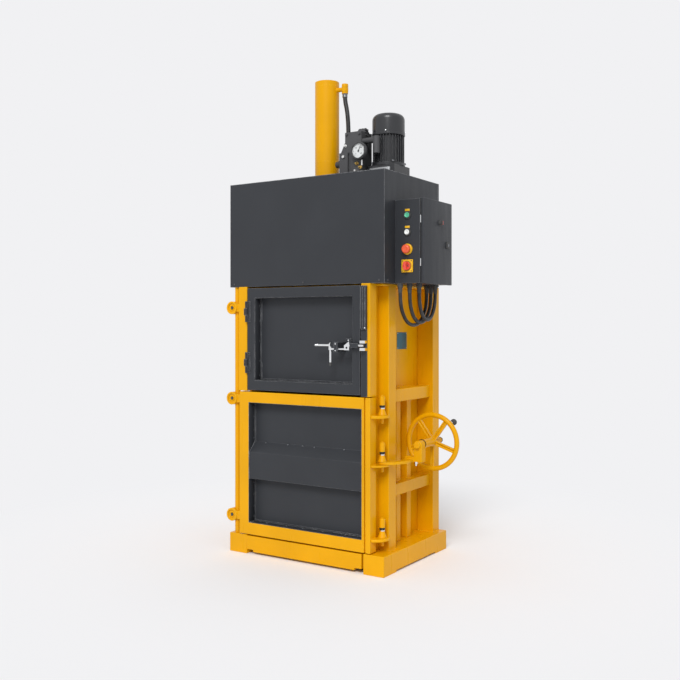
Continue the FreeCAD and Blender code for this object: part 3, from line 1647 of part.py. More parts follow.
def latch_bolt():
    """Handle rod, hollowed cam, lower bar, bracket and bolt in one, with the drop handle."""
    half = latch_plate / 2
    depth = (latch_y - half, latch_y + half)
    cam_left = latch_handle_x - cam_wide / 2
    cam_right = cam_left + cam_wide
    bar_z = latch_z - latch_bar_drop
    foot = bar_z - latch_bar_dia / 2
    top = latch_z + bracket_rise
    rod = cylinder("HandleRod", (latch_tail, latch_y, latch_z), latch_dia, cam_left - latch_tail, "X")
    cam = across_depth("Cam", depth, [[
        (cam_left, foot),
        (cam_right, foot),
        (cam_right, bar_z + latch_bar_dia / 2, -cam_hollow),
        (cam_right, top),
        (cam_left, latch_z + latch_dia / 2),
    ]])
    bracket_left = load_right - bracket_left_in
    bracket_right = bracket_left + bracket_wide
    bracket = across_depth("Bracket", depth, [[
        (bracket_left, foot),
        (bracket_right, foot),
        (bracket_right, top),
        (bracket_left, latch_z),
    ]])
    hole = cylinder(
        "BracketHole",
        (bracket_left + bracket_wide / 2, depth[0] - 1, (foot + latch_z) / 2),
        bracket_hole,
        latch_plate + 2,
        "Y",
    )
    bar = cylinder("LowerBar", (cam_left, latch_y, bar_z), latch_bar_dia, bracket_left - cam_left + half, "X")
    bolt_foot = bracket_right - half
    bolt = cylinder("Bolt", (bolt_foot, latch_y, latch_z), latch_dia, latch_tip - bolt_foot, "X")
    handle = cylinder("DropBar", (latch_handle_x, latch_y, foot - handle_long), handle_dia, handle_long)
    tip = cone(
        "DropTip",
        (latch_handle_x, latch_y, foot - handle_long - handle_tip),
        handle_dia * 0.6,
        handle_dia,
        handle_tip,
    )
    return cut("LatchBolt", join("LatchParts", [rod, cam, bracket, bar, bolt, handle, tip]), [hole])


NODES = (
    ("base_skids", base_skids),
    ("base_rails", base_rails),
    ("floor_plate", floor_plate),
    ("corner_posts", corner_posts),
    ("side_walls", side_walls),
    ("rear_wall", rear_wall),
    ("wall_lattices", wall_lattices),
    ("front_channels", front_channels),
    ("top_frame", top_frame),
    ("upper_jambs", upper_jambs),
    ("jamb_cover", jamb_cover),
    ("latch_keeper", latch_keeper),
    ("jamb_hinges", jamb_hinges),
    ("hinge_bar", hinge_post),
    ("hood", hood),
    ("cylinder_tube", cylinder_tube),
    ("piston_rod", piston_rod),
    ("press_plate", press_plate),
    ("motor_body", motor_body),
    ("motor_cowl", motor_cowl),
    ("valve_block", valve_block),
    ("valve_solenoid", solenoid),
    ("pressure_gauge", pressure_gauge),
    ("pressure_hose", hose),
    ("control_box", control_box),
    ("control_box_hinges", control_hinge),
    ("control_box_door", control_box_door),
    ("control_bezels", bezels),
    ("main_switch", main_switch),
    ("button_green", green_button),
    ("button_white", white_button),
    ("emergency_stop", stop_button),
    ("cable_glands", cable_glands),
    ("bale_door_frame", bale_door_frame),
    ("bale_door_panel", bale_door_panel),
    ("bale_door_lugs", door_lugs),
    ("lug_pins", lug_pins),
    ("lock_arm", lock_arm),
    ("handwheel", handwheel),
    ("wheel_grip", wheel_grip),
    ("loading_door_frame", loading_door_frame),
    ("loading_door_panel", loading_door_panel),
    ("loading_door_hinges", loading_door_hinges),
    ("latch_guide", latch_guide),
    ("latch_bolt", latch_bolt),
)

for node_name, make in NODES:
    piece(make(), node_name)
for cable_number, cable_name in enumerate(CABLES):
    piece(cord(cable_name, cable_points(cable_number), cable_dia), cable_name)

DOC.recompute()

faults = []
for thing in DOC.Objects:
    if "Invalid" in thing.State or "Error" in thing.State:
        faults.append("%s is %s" % (thing.Label, thing.State))
for thing in PIECES:
    if thing.Shape.isNull() or not thing.Shape.isValid():
        faults.append("%s has no valid shape" % thing.Label)
if faults:
    raise RuntimeError("; ".join(faults))

os.makedirs("parts", exist_ok=True)
for thing in PIECES:
    thing.Shape.exportStep(os.path.join("parts", thing.Label + ".step"))
print("%d pieces" % len(PIECES))
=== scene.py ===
"""Looks of an upright cardboard baler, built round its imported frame."""

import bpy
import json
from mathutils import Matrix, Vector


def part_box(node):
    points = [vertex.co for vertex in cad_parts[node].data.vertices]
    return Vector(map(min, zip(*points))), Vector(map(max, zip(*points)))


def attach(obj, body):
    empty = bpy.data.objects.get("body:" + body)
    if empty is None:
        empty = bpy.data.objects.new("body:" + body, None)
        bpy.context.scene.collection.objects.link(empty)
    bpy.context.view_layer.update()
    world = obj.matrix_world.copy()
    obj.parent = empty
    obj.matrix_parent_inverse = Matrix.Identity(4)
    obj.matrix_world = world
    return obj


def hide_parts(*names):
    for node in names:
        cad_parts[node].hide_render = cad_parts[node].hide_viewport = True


bl_info = {
    "name": "Upright Baler Looks",
    "version": (1, 0, 0),
    "blender": (4, 5, 0),
    "location": "3D View > Sidebar > Baler",
    "description": "Finishes, fasteners, dials, cables and stage of an upright baling press",
    "category": "Object",
}

import json
import math

import bmesh
import bpy
from bpy.props import FloatProperty, FloatVectorProperty, IntProperty, PointerProperty
from bpy.types import Operator, Panel, PropertyGroup
from mathutils import Matrix, Vector, noise

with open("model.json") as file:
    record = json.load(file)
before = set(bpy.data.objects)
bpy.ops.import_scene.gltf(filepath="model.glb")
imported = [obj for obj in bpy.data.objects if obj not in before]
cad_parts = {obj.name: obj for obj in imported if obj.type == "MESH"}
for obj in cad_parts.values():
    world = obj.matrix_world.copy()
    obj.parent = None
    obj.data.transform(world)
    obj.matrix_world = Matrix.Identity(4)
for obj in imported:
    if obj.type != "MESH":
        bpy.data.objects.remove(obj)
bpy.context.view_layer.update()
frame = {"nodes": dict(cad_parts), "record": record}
BODY_OF = {
    node: body
    for body, nodes in frame["record"]["behaviour"]["bodies"].items()
    for node in nodes
}


# Settings

def tone(red, green, blue):
    """A screen colour, 0 to 255 a channel, as linear light."""
    def linear(channel):
        share = channel / 255
        return share / 12.92 if share <= 0.04045 else ((share + 0.055) / 1.055) ** 2.4
    return (linear(red), linear(green), linear(blue))


def colour_setting(name, description, default):
    return FloatVectorProperty(
        name=name, description=description, subtype="COLOR", size=3, min=0, max=1, default=default
    )


def length_setting(name, description, default):
    return FloatProperty(name=name, description=description, unit="LENGTH", precision=4, default=default)


class BalerColours(PropertyGroup):
    yellow: colour_setting("Yellow enamel", "Paint of the steel frame, doors and lock", tone(232, 167, 2))
    # Painted highlight: a pale line of this colour is laid along the steel's rounded edges.
    yellow_edge: colour_setting("Yellow edge", "Paint where it thins on an edge", tone(255, 214, 40))
    anthracite: colour_setting("Anthracite coat", "Coat of the hood, panels and loading door",
                               tone(54, 56, 60))
    # Painted highlight: a pale line of this colour is laid along the coat's rounded edges.
    anthracite_edge: colour_setting("Anthracite edge", "Coat where it thins on an edge", tone(186, 187, 190))
    motor: colour_setting("Motor enamel", "Paint of the motor", tone(44, 45, 48))
    iron: colour_setting("Black iron", "Finish of the valve block", tone(26, 27, 29))
    plastic: colour_setting("Black plastic", "Plastic of grips, glands and rings", tone(26, 26, 28))
    rubber: colour_setting("Rubber", "Sheath of cables and hose", tone(22, 22, 24))
    steel: colour_setting("Bright steel", "Plated pins, bolts and rods", tone(176, 178, 181))
    brass: colour_setting("Brass", "Small hydraulic fittings", tone(206, 172, 98))
    dial: colour_setting("Dial", "Face of the pressure gauge", tone(226, 228, 228))
    red: colour_setting("Red plastic", "Stop button and switch", tone(226, 48, 34))
    orange: colour_setting("Stop head", "Head of the emergency stop", tone(238, 96, 58))
    green: colour_setting("Green plastic", "Start button", tone(30, 140, 92))
    white: colour_setting("White plastic", "Reset button", tone(214, 226, 220))
    label: colour_setting("Label yellow", "Plain labels, the stop's collar and the switch plate",
                          tone(242, 186, 16))
    plate: colour_setting("Bare plate", "The plain plate on the right wall", tone(20, 92, 108))
    cast: colour_setting("Cast aluminium", "The pump's flange under the motor", tone(176, 178, 180))
    needle: colour_setting("Dial print", "Needle, marks and numbers of the gauge", tone(30, 31, 33))
    ground: colour_setting("Ground", "Floor and backdrop", tone(241, 241, 243))


class BalerSizes(PropertyGroup):
    frame_edge: length_setting("Frame edge", "Rounding of thick steel edges", 0.0025)
    sheet_edge: length_setting("Sheet edge", "Rounding of folded sheet edges", 0.0015)
    small_edge: length_setting("Small edge", "Rounding of small machined parts", 0.0008)
    bead: length_setting("Weld bead", "Radius of a weld bead", 0.0032)
    tray_sheet: length_setting("Tray sheet", "Sheet of the dark trays in both doors", 0.0015)
    cable: length_setting("Cable", "Diameter of a hanging cable", 0.020)
    hose: length_setting("Hose", "Diameter of the hydraulic hose", 0.025)


class BalerStage(PropertyGroup):
    camera_place: FloatVectorProperty(
        name="Camera place", description="Where the camera stands", subtype="XYZ", unit="LENGTH",
        default=(2.85455, -4.3624, 1.32432)
    )
    camera_turn: FloatProperty(
        name="Camera turn", description="Turn of the level camera", subtype="ANGLE",
        default=math.radians(33.11)
    )
    focal_pixels: FloatProperty(
        name="Focal length", description="Focal length in picture pixels", default=880.96
    )
    picture_pixels: IntProperty(
        name="Picture width", description="Width of the picture in pixels", default=680
    )
    horizon_row: FloatProperty(
        name="Horizon row", description="Picture row of the horizon", default=325.62
    )
    key: FloatProperty(name="Key", description="Strength of the key light", default=2.0)
    key_spread: FloatProperty(
        name="Key spread", description="Angle the key light fills", subtype="ANGLE", default=math.radians(24)
    )
    sky: FloatProperty(name="Sky", description="Strength of the light from all round", default=0.57)


def colours():
    return bpy.context.scene.baler_colours


def sizes():
    return bpy.context.scene.baler_sizes


def stage():
    return bpy.context.scene.baler_stage


# Shader building

def add_node(tree, kind, place=(0, 0), **inputs):
    """Adds a node and sets its named sockets to plain values or links."""
    made = tree.nodes.new(kind)
    made.location = place
    for name, value in inputs.items():
        join(tree, value, made.inputs[name.replace("_", " ")])
    return made


def join(tree, value, socket):
    if isinstance(value, bpy.types.NodeSocket):
        tree.links.new(value, socket)
    elif hasattr(value, "__len__") and len(value) == 3 and socket.type == "RGBA":
        socket.default_value = (*value, 1)
    else:
        socket.default_value = value


def blend_colour(tree, factor, first, second, mode="MIX"):
    made = tree.nodes.new("ShaderNodeMix")
    made.data_type = "RGBA"
    made.blend_type = mode
    join(tree, factor, made.inputs[0])
    join(tree, first, made.inputs[6])
    join(tree, second, made.inputs[7])
    return made.outputs[2]


def math_node(tree, operation, first, second=0.0, clamp=False):
    made = tree.nodes.new("ShaderNodeMath")
    made.operation = operation
    made.use_clamp = clamp
    join(tree, first, made.inputs[0])
    join(tree, second, made.inputs[1])
    return made.outputs[0]


def remap(tree, value, low, high, to_low=0.0, to_high=1.0):
    made = tree.nodes.new("ShaderNodeMapRange")
    join(tree, value, made.inputs["Value"])
    for name, number in (
        ("From Min", low), ("From Max", high), ("To Min", to_low), ("To Max", to_high)
    ):
        join(tree, number, made.inputs[name])
    return made.outputs["Result"]


def new_group(name, inputs, outputs):
    """A shader group with named sockets; returns it with its two end nodes."""
    group = bpy.data.node_groups.new(name, "ShaderNodeTree")
    for label, kind, default in inputs:
        socket = group.interface.new_socket(name=label, in_out="INPUT", socket_type=kind)
        socket.default_value = default
    for label, kind in outputs:
        group.interface.new_socket(name=label, in_out="OUTPUT", socket_type=kind)
    entry = group.nodes.new("NodeGroupInput")
    leave = group.nodes.new("NodeGroupOutput")
    return group, entry, leave


def rounded_edge_group():
    """Normal of a softly rounded edge, and a mask that is 1 along the edge."""
    found = bpy.data.node_groups.get("rounded_edge")
    if found:
        return found
    group, entry, leave = new_group(
        "rounded_edge",
        [("Radius", "NodeSocketFloat", 0.002), ("Breakup", "NodeSocketFloat", 30.0)],
        [("Normal", "NodeSocketVector"), ("Edge", "NodeSocketFloat")],
    )
    soft = group.nodes.new("ShaderNodeBevel")
    soft.samples = 6
    join(group, entry.outputs["Radius"], soft.inputs["Radius"])
    geometry = group.nodes.new("ShaderNodeNewGeometry")
    dot = group.nodes.new("ShaderNodeVectorMath")
    dot.operation = "DOT_PRODUCT"
    join(group, soft.outputs["Normal"], dot.inputs[0])
    join(group, geometry.outputs["Normal"], dot.inputs[1])
    place = group.nodes.new("ShaderNodeTexCoord")
    noise = add_node(group, "ShaderNodeTexNoise", Vector=place.outputs["Object"], Detail=4.0)
    join(group, entry.outputs["Breakup"], noise.inputs["Scale"])
    near = remap(group, dot.outputs["Value"], 0.995, 0.86)
    rough = remap(group, noise.outputs["Fac"], 0.35, 0.65, 0.35, 1.0)
    join(group, math_node(group, "MULTIPLY", near, rough, True), leave.inputs["Edge"])
    join(group, soft.outputs["Normal"], leave.inputs["Normal"])
    return group


def surface_group():
    """Fine height and slow mottling of a painted or moulded surface."""
    found = bpy.data.node_groups.get("surface_grain")
    if found:
        return found
    group, entry, leave = new_group(
        "surface_grain",
        [("Fine Scale", "NodeSocketFloat", 900.0), ("Slow Scale", "NodeSocketFloat", 3.0)],
        [("Height", "NodeSocketFloat"), ("Mottle", "NodeSocketFloat"), ("Smear", "NodeSocketFloat")],
    )
    place = group.nodes.new("ShaderNodeTexCoord").outputs["Object"]
    fine = add_node(group, "ShaderNodeTexNoise", Vector=place, Detail=2.0)
    join(group, entry.outputs["Fine Scale"], fine.inputs["Scale"])
    slow = add_node(group, "ShaderNodeTexNoise", Vector=place, Detail=5.0)
    join(group, entry.outputs["Slow Scale"], slow.inputs["Scale"])
    stretch = add_node(group, "ShaderNodeMapping", Vector=place, Scale=(9.0, 9.0, 1.2))
    smear = add_node(group, "ShaderNodeTexNoise", Vector=stretch.outputs["Vector"], Detail=6.0)
    join(group, entry.outputs["Slow Scale"], smear.inputs["Scale"])
    join(group, fine.outputs["Fac"], leave.inputs["Height"])
    join(group, slow.outputs["Fac"], leave.inputs["Mottle"])
    join(group, smear.outputs["Fac"], leave.inputs["Smear"])
    return group


def use_group(tree, group, **inputs):
    made = tree.nodes.new("ShaderNodeGroup")
    made.node_tree = group
    for name, value in inputs.items():
        join(tree, value, made.inputs[name.replace("_", " ")])
    return made


def new_material(name):
    material = bpy.data.materials.new(name)
    material.use_nodes = True
    return material, material.node_tree, material.node_tree.nodes["Principled BSDF"]


def keep(maker):
    """Makes each material once, under its function's name."""
    def found_or_made(*values):
        name = maker.__name__
        return bpy.data.materials.get(name) or maker(name, *values)
    found_or_made.__name__ = maker.__name__
    return found_or_made


def painted(name, base, edge, rough, peel, radius, metallic=0.0, coat=0.0, highlight_share=0.5, gloss=0.25):
    """Sprayed paint: slight mottling, orange peel, and a thin pale line on its edges, which is a painted
    highlight where an edge would catch the light.
    """
    material, tree, shader = new_material(name)
    grain = use_group(tree, surface_group(), Fine_Scale=420.0, Slow_Scale=2.6)
    rim = use_group(tree, rounded_edge_group(), Radius=radius, Breakup=24.0)
    deep = tuple(channel * 0.86 for channel in base)
    body = blend_colour(tree, remap(tree, grain.outputs["Mottle"], 0.3, 0.7), deep, base)
    # The edge colour is a painted highlight, laid along the edges by the rounded edge mask.
    line = math_node(tree, "MULTIPLY", rim.outputs["Edge"], highlight_share)
    join(tree, blend_colour(tree, line, body, edge), shader.inputs["Base Color"])
    spread = remap(tree, grain.outputs["Smear"], 0.3, 0.7, rough - 0.05, rough + 0.09)
    join(tree, spread, shader.inputs["Roughness"])
    bump = add_node(tree, "ShaderNodeBump", Strength=peel, Distance=0.0006,
                    Height=grain.outputs["Height"], Normal=rim.outputs["Normal"])
    join(tree, bump.outputs["Normal"], shader.inputs["Normal"])
    shader.inputs["Metallic"].default_value = metallic
    shader.inputs["Specular IOR Level"].default_value = gloss
    shader.inputs["Coat Weight"].default_value = coat
    shader.inputs["Coat Roughness"].default_value = 0.12
    return material


@keep
def yellow_enamel(name):
    return painted(name, colours().yellow, colours().yellow_edge, 0.30, 0.05, 0.004, highlight_share=0.75,
                   gloss=0.18)


@keep
def anthracite_coat(name):
    return painted(name, colours().anthracite, colours().anthracite_edge, 0.40, 0.10, 0.0034,
                   highlight_share=0.9, gloss=0.22)


@keep
def motor_enamel(name):
    # The second tone is a painted highlight along the motor's edges.
    return painted(name, colours().motor, tone(104, 106, 109), 0.30, 0.08, 0.0012, gloss=0.5)


@keep
def black_iron(name):
    # The second tone is a painted highlight along the block's edges.
    return painted(name, colours().iron, tone(92, 93, 95), 0.36, 0.22, 0.0012, gloss=0.5)


@keep
def black_plastic(name):
    # The second tone is a painted highlight along the plastic's edges.
    return painted(name, colours().plastic, tone(66, 66, 68), 0.38, 0.10, 0.0008)


def moulded(name, base, rough=0.24):
    material, tree, shader = new_material(name)
    grain = use_group(tree, surface_group(), Fine_Scale=700.0, Slow_Scale=22.0)
    deep = tuple(channel * 0.82 for channel in base)
    body = blend_colour(tree, remap(tree, grain.outputs["Mottle"], 0.3, 0.7), deep, base)
    join(tree, body, shader.inputs["Base Color"])
    join(tree, remap(tree, grain.outputs["Smear"], 0.3, 0.7, rough - 0.05, rough + 0.08),
         shader.inputs["Roughness"])
    rim = use_group(tree, rounded_edge_group(), Radius=0.0008, Breakup=60.0)
    bump = add_node(tree, "ShaderNodeBump", Strength=0.04, Distance=0.0004,
                    Height=grain.outputs["Height"], Normal=rim.outputs["Normal"])
    join(tree, bump.outputs["Normal"], shader.inputs["Normal"])
    return material


@keep
def red_plastic(name):
    return moulded(name, colours().red)


@keep
def stop_head_plastic(name):
    return moulded(name, colours().orange)


@keep
def green_plastic(name):
    return moulded(name, colours().green)


@keep
def white_plastic(name):
    return moulded(name, colours().white)


@keep
def label_plastic(name):
    return moulded(name, colours().label, 0.34)


@keep
def plate_enamel(name):
    return moulded(name, colours().plate, 0.34)


@keep
def dial_print(name):
    return moulded(name, colours().needle, 0.40)


@keep
def dial_enamel(name):
    return moulded(name, colours().dial, 0.30)


@keep
def ring_rubber(name):
    return moulded(name, colours().rubber, 0.30)


@keep
def cable_rubber(name):
    """Black sheath with a fine mould texture and a dull smear of dust."""
    material, tree, shader = new_material(name)
    grain = use_group(tree, surface_group(), Fine_Scale=1300.0, Slow_Scale=18.0)
    dusty = tone(58, 58, 60)
    body = blend_colour(tree, remap(tree, grain.outputs["Mottle"], 0.45, 0.8), colours().rubber, dusty)
    join(tree, body, shader.inputs["Base Color"])
    join(tree, remap(tree, grain.outputs["Smear"], 0.3, 0.7, 0.34, 0.52), shader.inputs["Roughness"])
    bump = add_node(tree, "ShaderNodeBump", Strength=0.12, Distance=0.0003, Height=grain.outputs["Height"])
    join(tree, bump.outputs["Normal"], shader.inputs["Normal"])
    return material


def metal(name, base, rough, scratch):
    material, tree, shader = new_material(name)
    place = tree.nodes.new("ShaderNodeTexCoord").outputs["Object"]
    stretch = add_node(tree, "ShaderNodeMapping", Vector=place, Scale=(1.0, 1.0, 14.0))
    lines = add_node(tree, "ShaderNodeTexNoise", Vector=stretch.outputs["Vector"], Scale=260.0, Detail=3.0)
    grain = use_group(tree, surface_group(), Fine_Scale=600.0, Slow_Scale=14.0)
    deep = tuple(channel * 0.72 for channel in base)
    body = blend_colour(tree, remap(tree, grain.outputs["Mottle"], 0.25, 0.6), deep, base)
    join(tree, body, shader.inputs["Base Color"])
    join(tree, remap(tree, lines.outputs["Fac"], 0.3, 0.7, rough - 0.06, rough + 0.12),
         shader.inputs["Roughness"])
    rim = use_group(tree, rounded_edge_group(), Radius=0.0009, Breakup=60.0)
    bump = add_node(tree, "ShaderNodeBump", Strength=scratch, Distance=0.0003,
                    Height=lines.outputs["Fac"], Normal=rim.outputs["Normal"])
    join(tree, bump.outputs["Normal"], shader.inputs["Normal"])
    shader.inputs["Metallic"].default_value = 1.0
    return material


@keep
def bright_steel(name):
    return metal(name, colours().steel, 0.2, 0.08)


@keep
def rivet_steel(name):
    return metal(name, tone(128, 130, 134), 0.34, 0.1)


@keep
def plated_steel(name):
    return metal(name, tone(236, 236, 234), 0.30, 0.06)


@keep
def worn_brass(name):
    return metal(name, colours().brass, 0.28, 0.1)


@keep
def cast_aluminium(name):
    # The second tone is a painted highlight along the flange's edges.
    return painted(name, colours().cast, tone(206, 208, 210), 0.42, 0.5, 0.002, metallic=0.6)


# Mesh building

FRONT = Vector((0, -1, 0))
RIGHT = Vector((1, 0, 0))
UP = Vector((0, 0, 1))


def span(node):
    """Lowest and highest corner of a CAD node."""
    low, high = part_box(node)
    return Vector(low), Vector(high)


def middle(node):
    low, high = span(node)
    return (low + high) / 2


class Shape:
    """Collects the turned, flat and swept parts of one piece."""

    def __init__(self):
        self.work = bmesh.new()

    def turned(self, profile, place, axis, steps=32, start=0.0):
        """Turns (radius, distance along) points about an axis through a place."""
        turn = Vector(axis).to_track_quat("Z", "Y").to_matrix()
        rings = []
        for radius, along in profile:
            count = 1 if radius == 0 else steps
            ring = []
            for number in range(count):
                angle = math.tau * number / steps + start
                spot = Vector((radius * math.cos(angle), radius * math.sin(angle), along))
                ring.append(self.work.verts.new(Vector(place) + turn @ spot))
            rings.append(ring)
        for first, second in zip(rings, rings[1:]):
            for number in range(steps):
                after = (number + 1) % steps
                corners = [first[number % len(first)], first[after % len(first)],
                           second[after % len(second)], second[number % len(second)]]
                distinct = list(dict.fromkeys(corners))
                if len(distinct) > 2:
                    self.work.faces.new(distinct)
        return self

    def block(self, low, high, edge=0.0, segments=2):
        """A block between two corners, with its edges rounded."""
        low = Vector(low)
        high = Vector(high)
        made = bmesh.ops.create_cube(self.work, size=1)["verts"]
        for corner in made:
            corner.co = Vector(
                low[axis] + (corner.co[axis] + 0.5) * (high[axis] - low[axis]) for axis in range(3)
            )
        self.round_edges(made, edge, segments)
        return self

    def plate(self, outline, place, across, up, thick, edge=0.0, segments=1):
        """A flat outline, drawn along two directions from a place, with a thickness."""
        across = Vector(across)
        up = Vector(up)
        normal = across.cross(up).normalized()
        near = [self.work.verts.new(Vector(place) + across * u + up * v) for u, v in outline]
        far = [self.work.verts.new(corner.co + normal * thick) for corner in near]
        self.work.faces.new(reversed(near))
        self.work.faces.new(far)
        count = len(near)
        for number in range(count):
            after = (number + 1) % count
            self.work.faces.new([near[number], near[after], far[after], far[number]])
        self.round_edges(near + far, edge, segments)
        return self

    def round_edges(self, corners, edge, segments):
        if edge > 0:
            touched = {line for corner in corners for line in corner.link_edges}
            sharp = [line for line in touched if line.calc_face_angle(0) > 0.5]
            bmesh.ops.bevel(
                self.work, geom=sharp, offset=edge, segments=segments, profile=0.5, affect="EDGES"
            )

    def swept(self, path, radius_at, sides=10):
        """A tube along points, whose radius may change along the way."""
        path = [Vector(point) for point in path]
        heading = (path[1] - path[0]).normalized()
        side = heading.orthogonal().normalized()
        rings = []
        for number, point in enumerate(path):
            before = path[max(number - 1, 0)]
            after = path[min(number + 1, len(path) - 1)]
            heading = (after - before).normalized()
            side = (side - heading * side.dot(heading)).normalized()
            other = heading.cross(side)
            radius = radius_at(number / (len(path) - 1))
            rings.append([
                self.work.verts.new(point + radius * (
                    side * math.cos(math.tau * step / sides) + other * math.sin(math.tau * step / sides)
                ))
                for step in range(sides)
            ])
        for first, second in zip(rings, rings[1:]):
            for step in range(sides):
                after = (step + 1) % sides
                self.work.faces.new([first[step], first[after], second[after], second[step]])
        self.work.faces.new(reversed(rings[0]))
        self.work.faces.new(rings[-1])
        return self

    def bead(self, start, end):
        """A hand weld between two points: a rippled, slightly uneven bead."""
        start = Vector(start)
        end = Vector(end)
        ripple = 0.0055
        count = max(6, int((end - start).length / ripple) * 3)
        path = []
        for number in range(count + 1):
            point = start.lerp(end, number / count)
            path.append(point + noise.noise_vector(point * 90) * 0.0005)
        size = sizes().bead

        def radius_at(share):
            wave = abs(math.sin(share * count / 3 * math.pi))
            fade = min(1.0, 12 * share + 0.3, 12 * (1 - share) + 0.3)
            return size * (0.72 + 0.28 * wave) * fade
        return self.swept(path, radius_at, 8)

    def dome_head(self, place, axis, dia, rise=0.42):
        """A rivet or a pan head screw."""
        half = dia / 2
        return self.turned([
            (half, 0), (half, dia * rise * 0.3), (half * 0.86, dia * rise * 0.72),
            (half * 0.5, dia * rise * 0.96), (0, dia * rise),
        ], place, axis, 20)

    def hex_head(self, place, axis, width, high=0.6):
        """A hexagon head on its washer, with the chamfer of a turned bar."""
        half = width / 2
        self.turned([
            (half * 1.32, 0), (half * 1.32, width * 0.07), (half * 1.22, width * 0.1), (0, width * 0.1),
        ], place, axis, 28)
        foot = Vector(place) + Vector(axis) * width * 0.1
        return self.turned([
            (half * 1.12, 0), (half * 1.12, width * high * 0.86), (half * 0.98, width * high),
            (half * 0.4, width * high * 1.02), (0, width * high * 1.02),
        ], foot, axis, 6, 0.3)

    def make(self, name, material, body, slot, smooth=35):
        bmesh.ops.recalc_face_normals(self.work, faces=self.work.faces)
        mesh = bpy.data.meshes.new(name)
        self.work.to_mesh(mesh)
        self.work.free()
        smooth_by_angle(mesh, smooth)
        return new_object(name, mesh, material, body)


def new_object(name, mesh, material, body):
    obj = bpy.data.objects.new(name, mesh)
    bpy.context.scene.collection.objects.link(obj)
    obj.data.materials.clear()
    obj.data.materials.append(material)
    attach(obj, body)
    return obj


def smooth_by_angle(mesh, degrees=32):
    """Smooth shading that keeps edges sharper than the angle hard."""
    work = bmesh.new()
    work.from_mesh(mesh)
    limit = math.radians(degrees)
    for face in work.faces:
        face.smooth = True
    for edge in work.edges:
        edge.smooth = len(edge.link_faces) == 2 and edge.calc_face_angle(0) < limit
    work.to_mesh(mesh)
    work.free()


def clean_mesh(node):
    """The node's own surface as one welded mesh with whole flat faces."""
    mesh = frame["nodes"][node].data.copy()
    mesh.name = node + "_mesh"
    work = bmesh.new()
    work.from_mesh(mesh)
    bmesh.ops.remove_doubles(work, verts=work.verts, dist=2e-5)
    bmesh.ops.dissolve_limit(
        work, angle_limit=math.radians(0.6), verts=work.verts, edges=work.edges, delimit={"MATERIAL"}
    )
    work.to_mesh(mesh)
    work.free()
    return mesh


def softened(node, edge, material):
    """A node's form with its edges rounded, in place of the sharp one."""
    mesh = clean_mesh(node)
    obj = new_object(node + "_finish", mesh, material, BODY_OF[node])
    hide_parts(node)
    rounding = obj.modifiers.new("Rounding", "BEVEL")
    rounding.width = edge
    rounding.segments = 2
    rounding.limit_method = "ANGLE"
    rounding.angle_limit = math.radians(40)
    rounding.miter_outer = "MITER_ARC"
    rounding.use_clamp_overlap = True
    smooth_by_angle(mesh, 40)
    return obj


def finish_node(node, material):
    """Gives a CAD node its finish."""
    obj = frame["nodes"][node]
    obj.data.materials.clear()
    obj.data.materials.append(material)
    return obj


# Places on the object, in metres

BAND_TOPS = (0.450, 0.972)
DOOR_HINGE_FEET = (1.050, 1.345)
LUG_FACES = (0.845, 0.830, 0.580, 0.571, 0.190, 0.175)
PIN_COLLAR_FEET = (0.878, 0.629, 0.223)
PIN_TOPS = (0.9465, 0.6975, 0.2915)
BOSSES = (("low", 0.215, "bale_door"), ("middle", 0.898, "bale_door"), ("top", 1.429, "frame"))
CYLINDER_AXIS = (-0.020, -0.092)
HOOD_TOP = 2.150
HOSE_FOOT = (0.128, -0.092, 2.390)
HOSE_TOP = (0.104, -0.092, 2.660)

# Cables: sideways place, front and back gland, drop and length.
GLAND_MOUTH = 1.5275
CABLE_LOOPS = {
    "cable_1": (0.548, -0.236, 0.070, 0.205, 0.573),
    "cable_2": (0.584, -0.196, 0.052, 0.190, 0.504),
    "cable_3": (0.620, -0.156, 0.034, 0.175, 0.437),
}


# Operators

FRAME_STEEL = (
    "base_skids", "base_rails", "floor_plate", "corner_posts", "side_walls", "rear_wall",
    "wall_lattices", "front_channels", "top_frame", "upper_jambs", "bale_door_frame",
    "bale_door_lugs", "lock_arm",
)
ROUND_STEEL = ("hinge_bar", "cylinder_tube", "lug_pins", "handwheel", "press_plate")
DARK_SHEET = (
    "hood", "jamb_cover", "bale_door_panel", "loading_door_frame", "loading_door_panel",
    "control_box", "latch_guide",
)


class BALER_OT_steelwork(Operator):
    """Yellow frame, doors and lock"""

    bl_idname = "baler.steelwork"
    bl_label = "Steelwork"

    def execute(self, context):
        for node in FRAME_STEEL:
            softened(node, sizes().frame_edge, yellow_enamel())
        for node in ROUND_STEEL:
            finish_node(node, yellow_enamel())
        return {"FINISHED"}


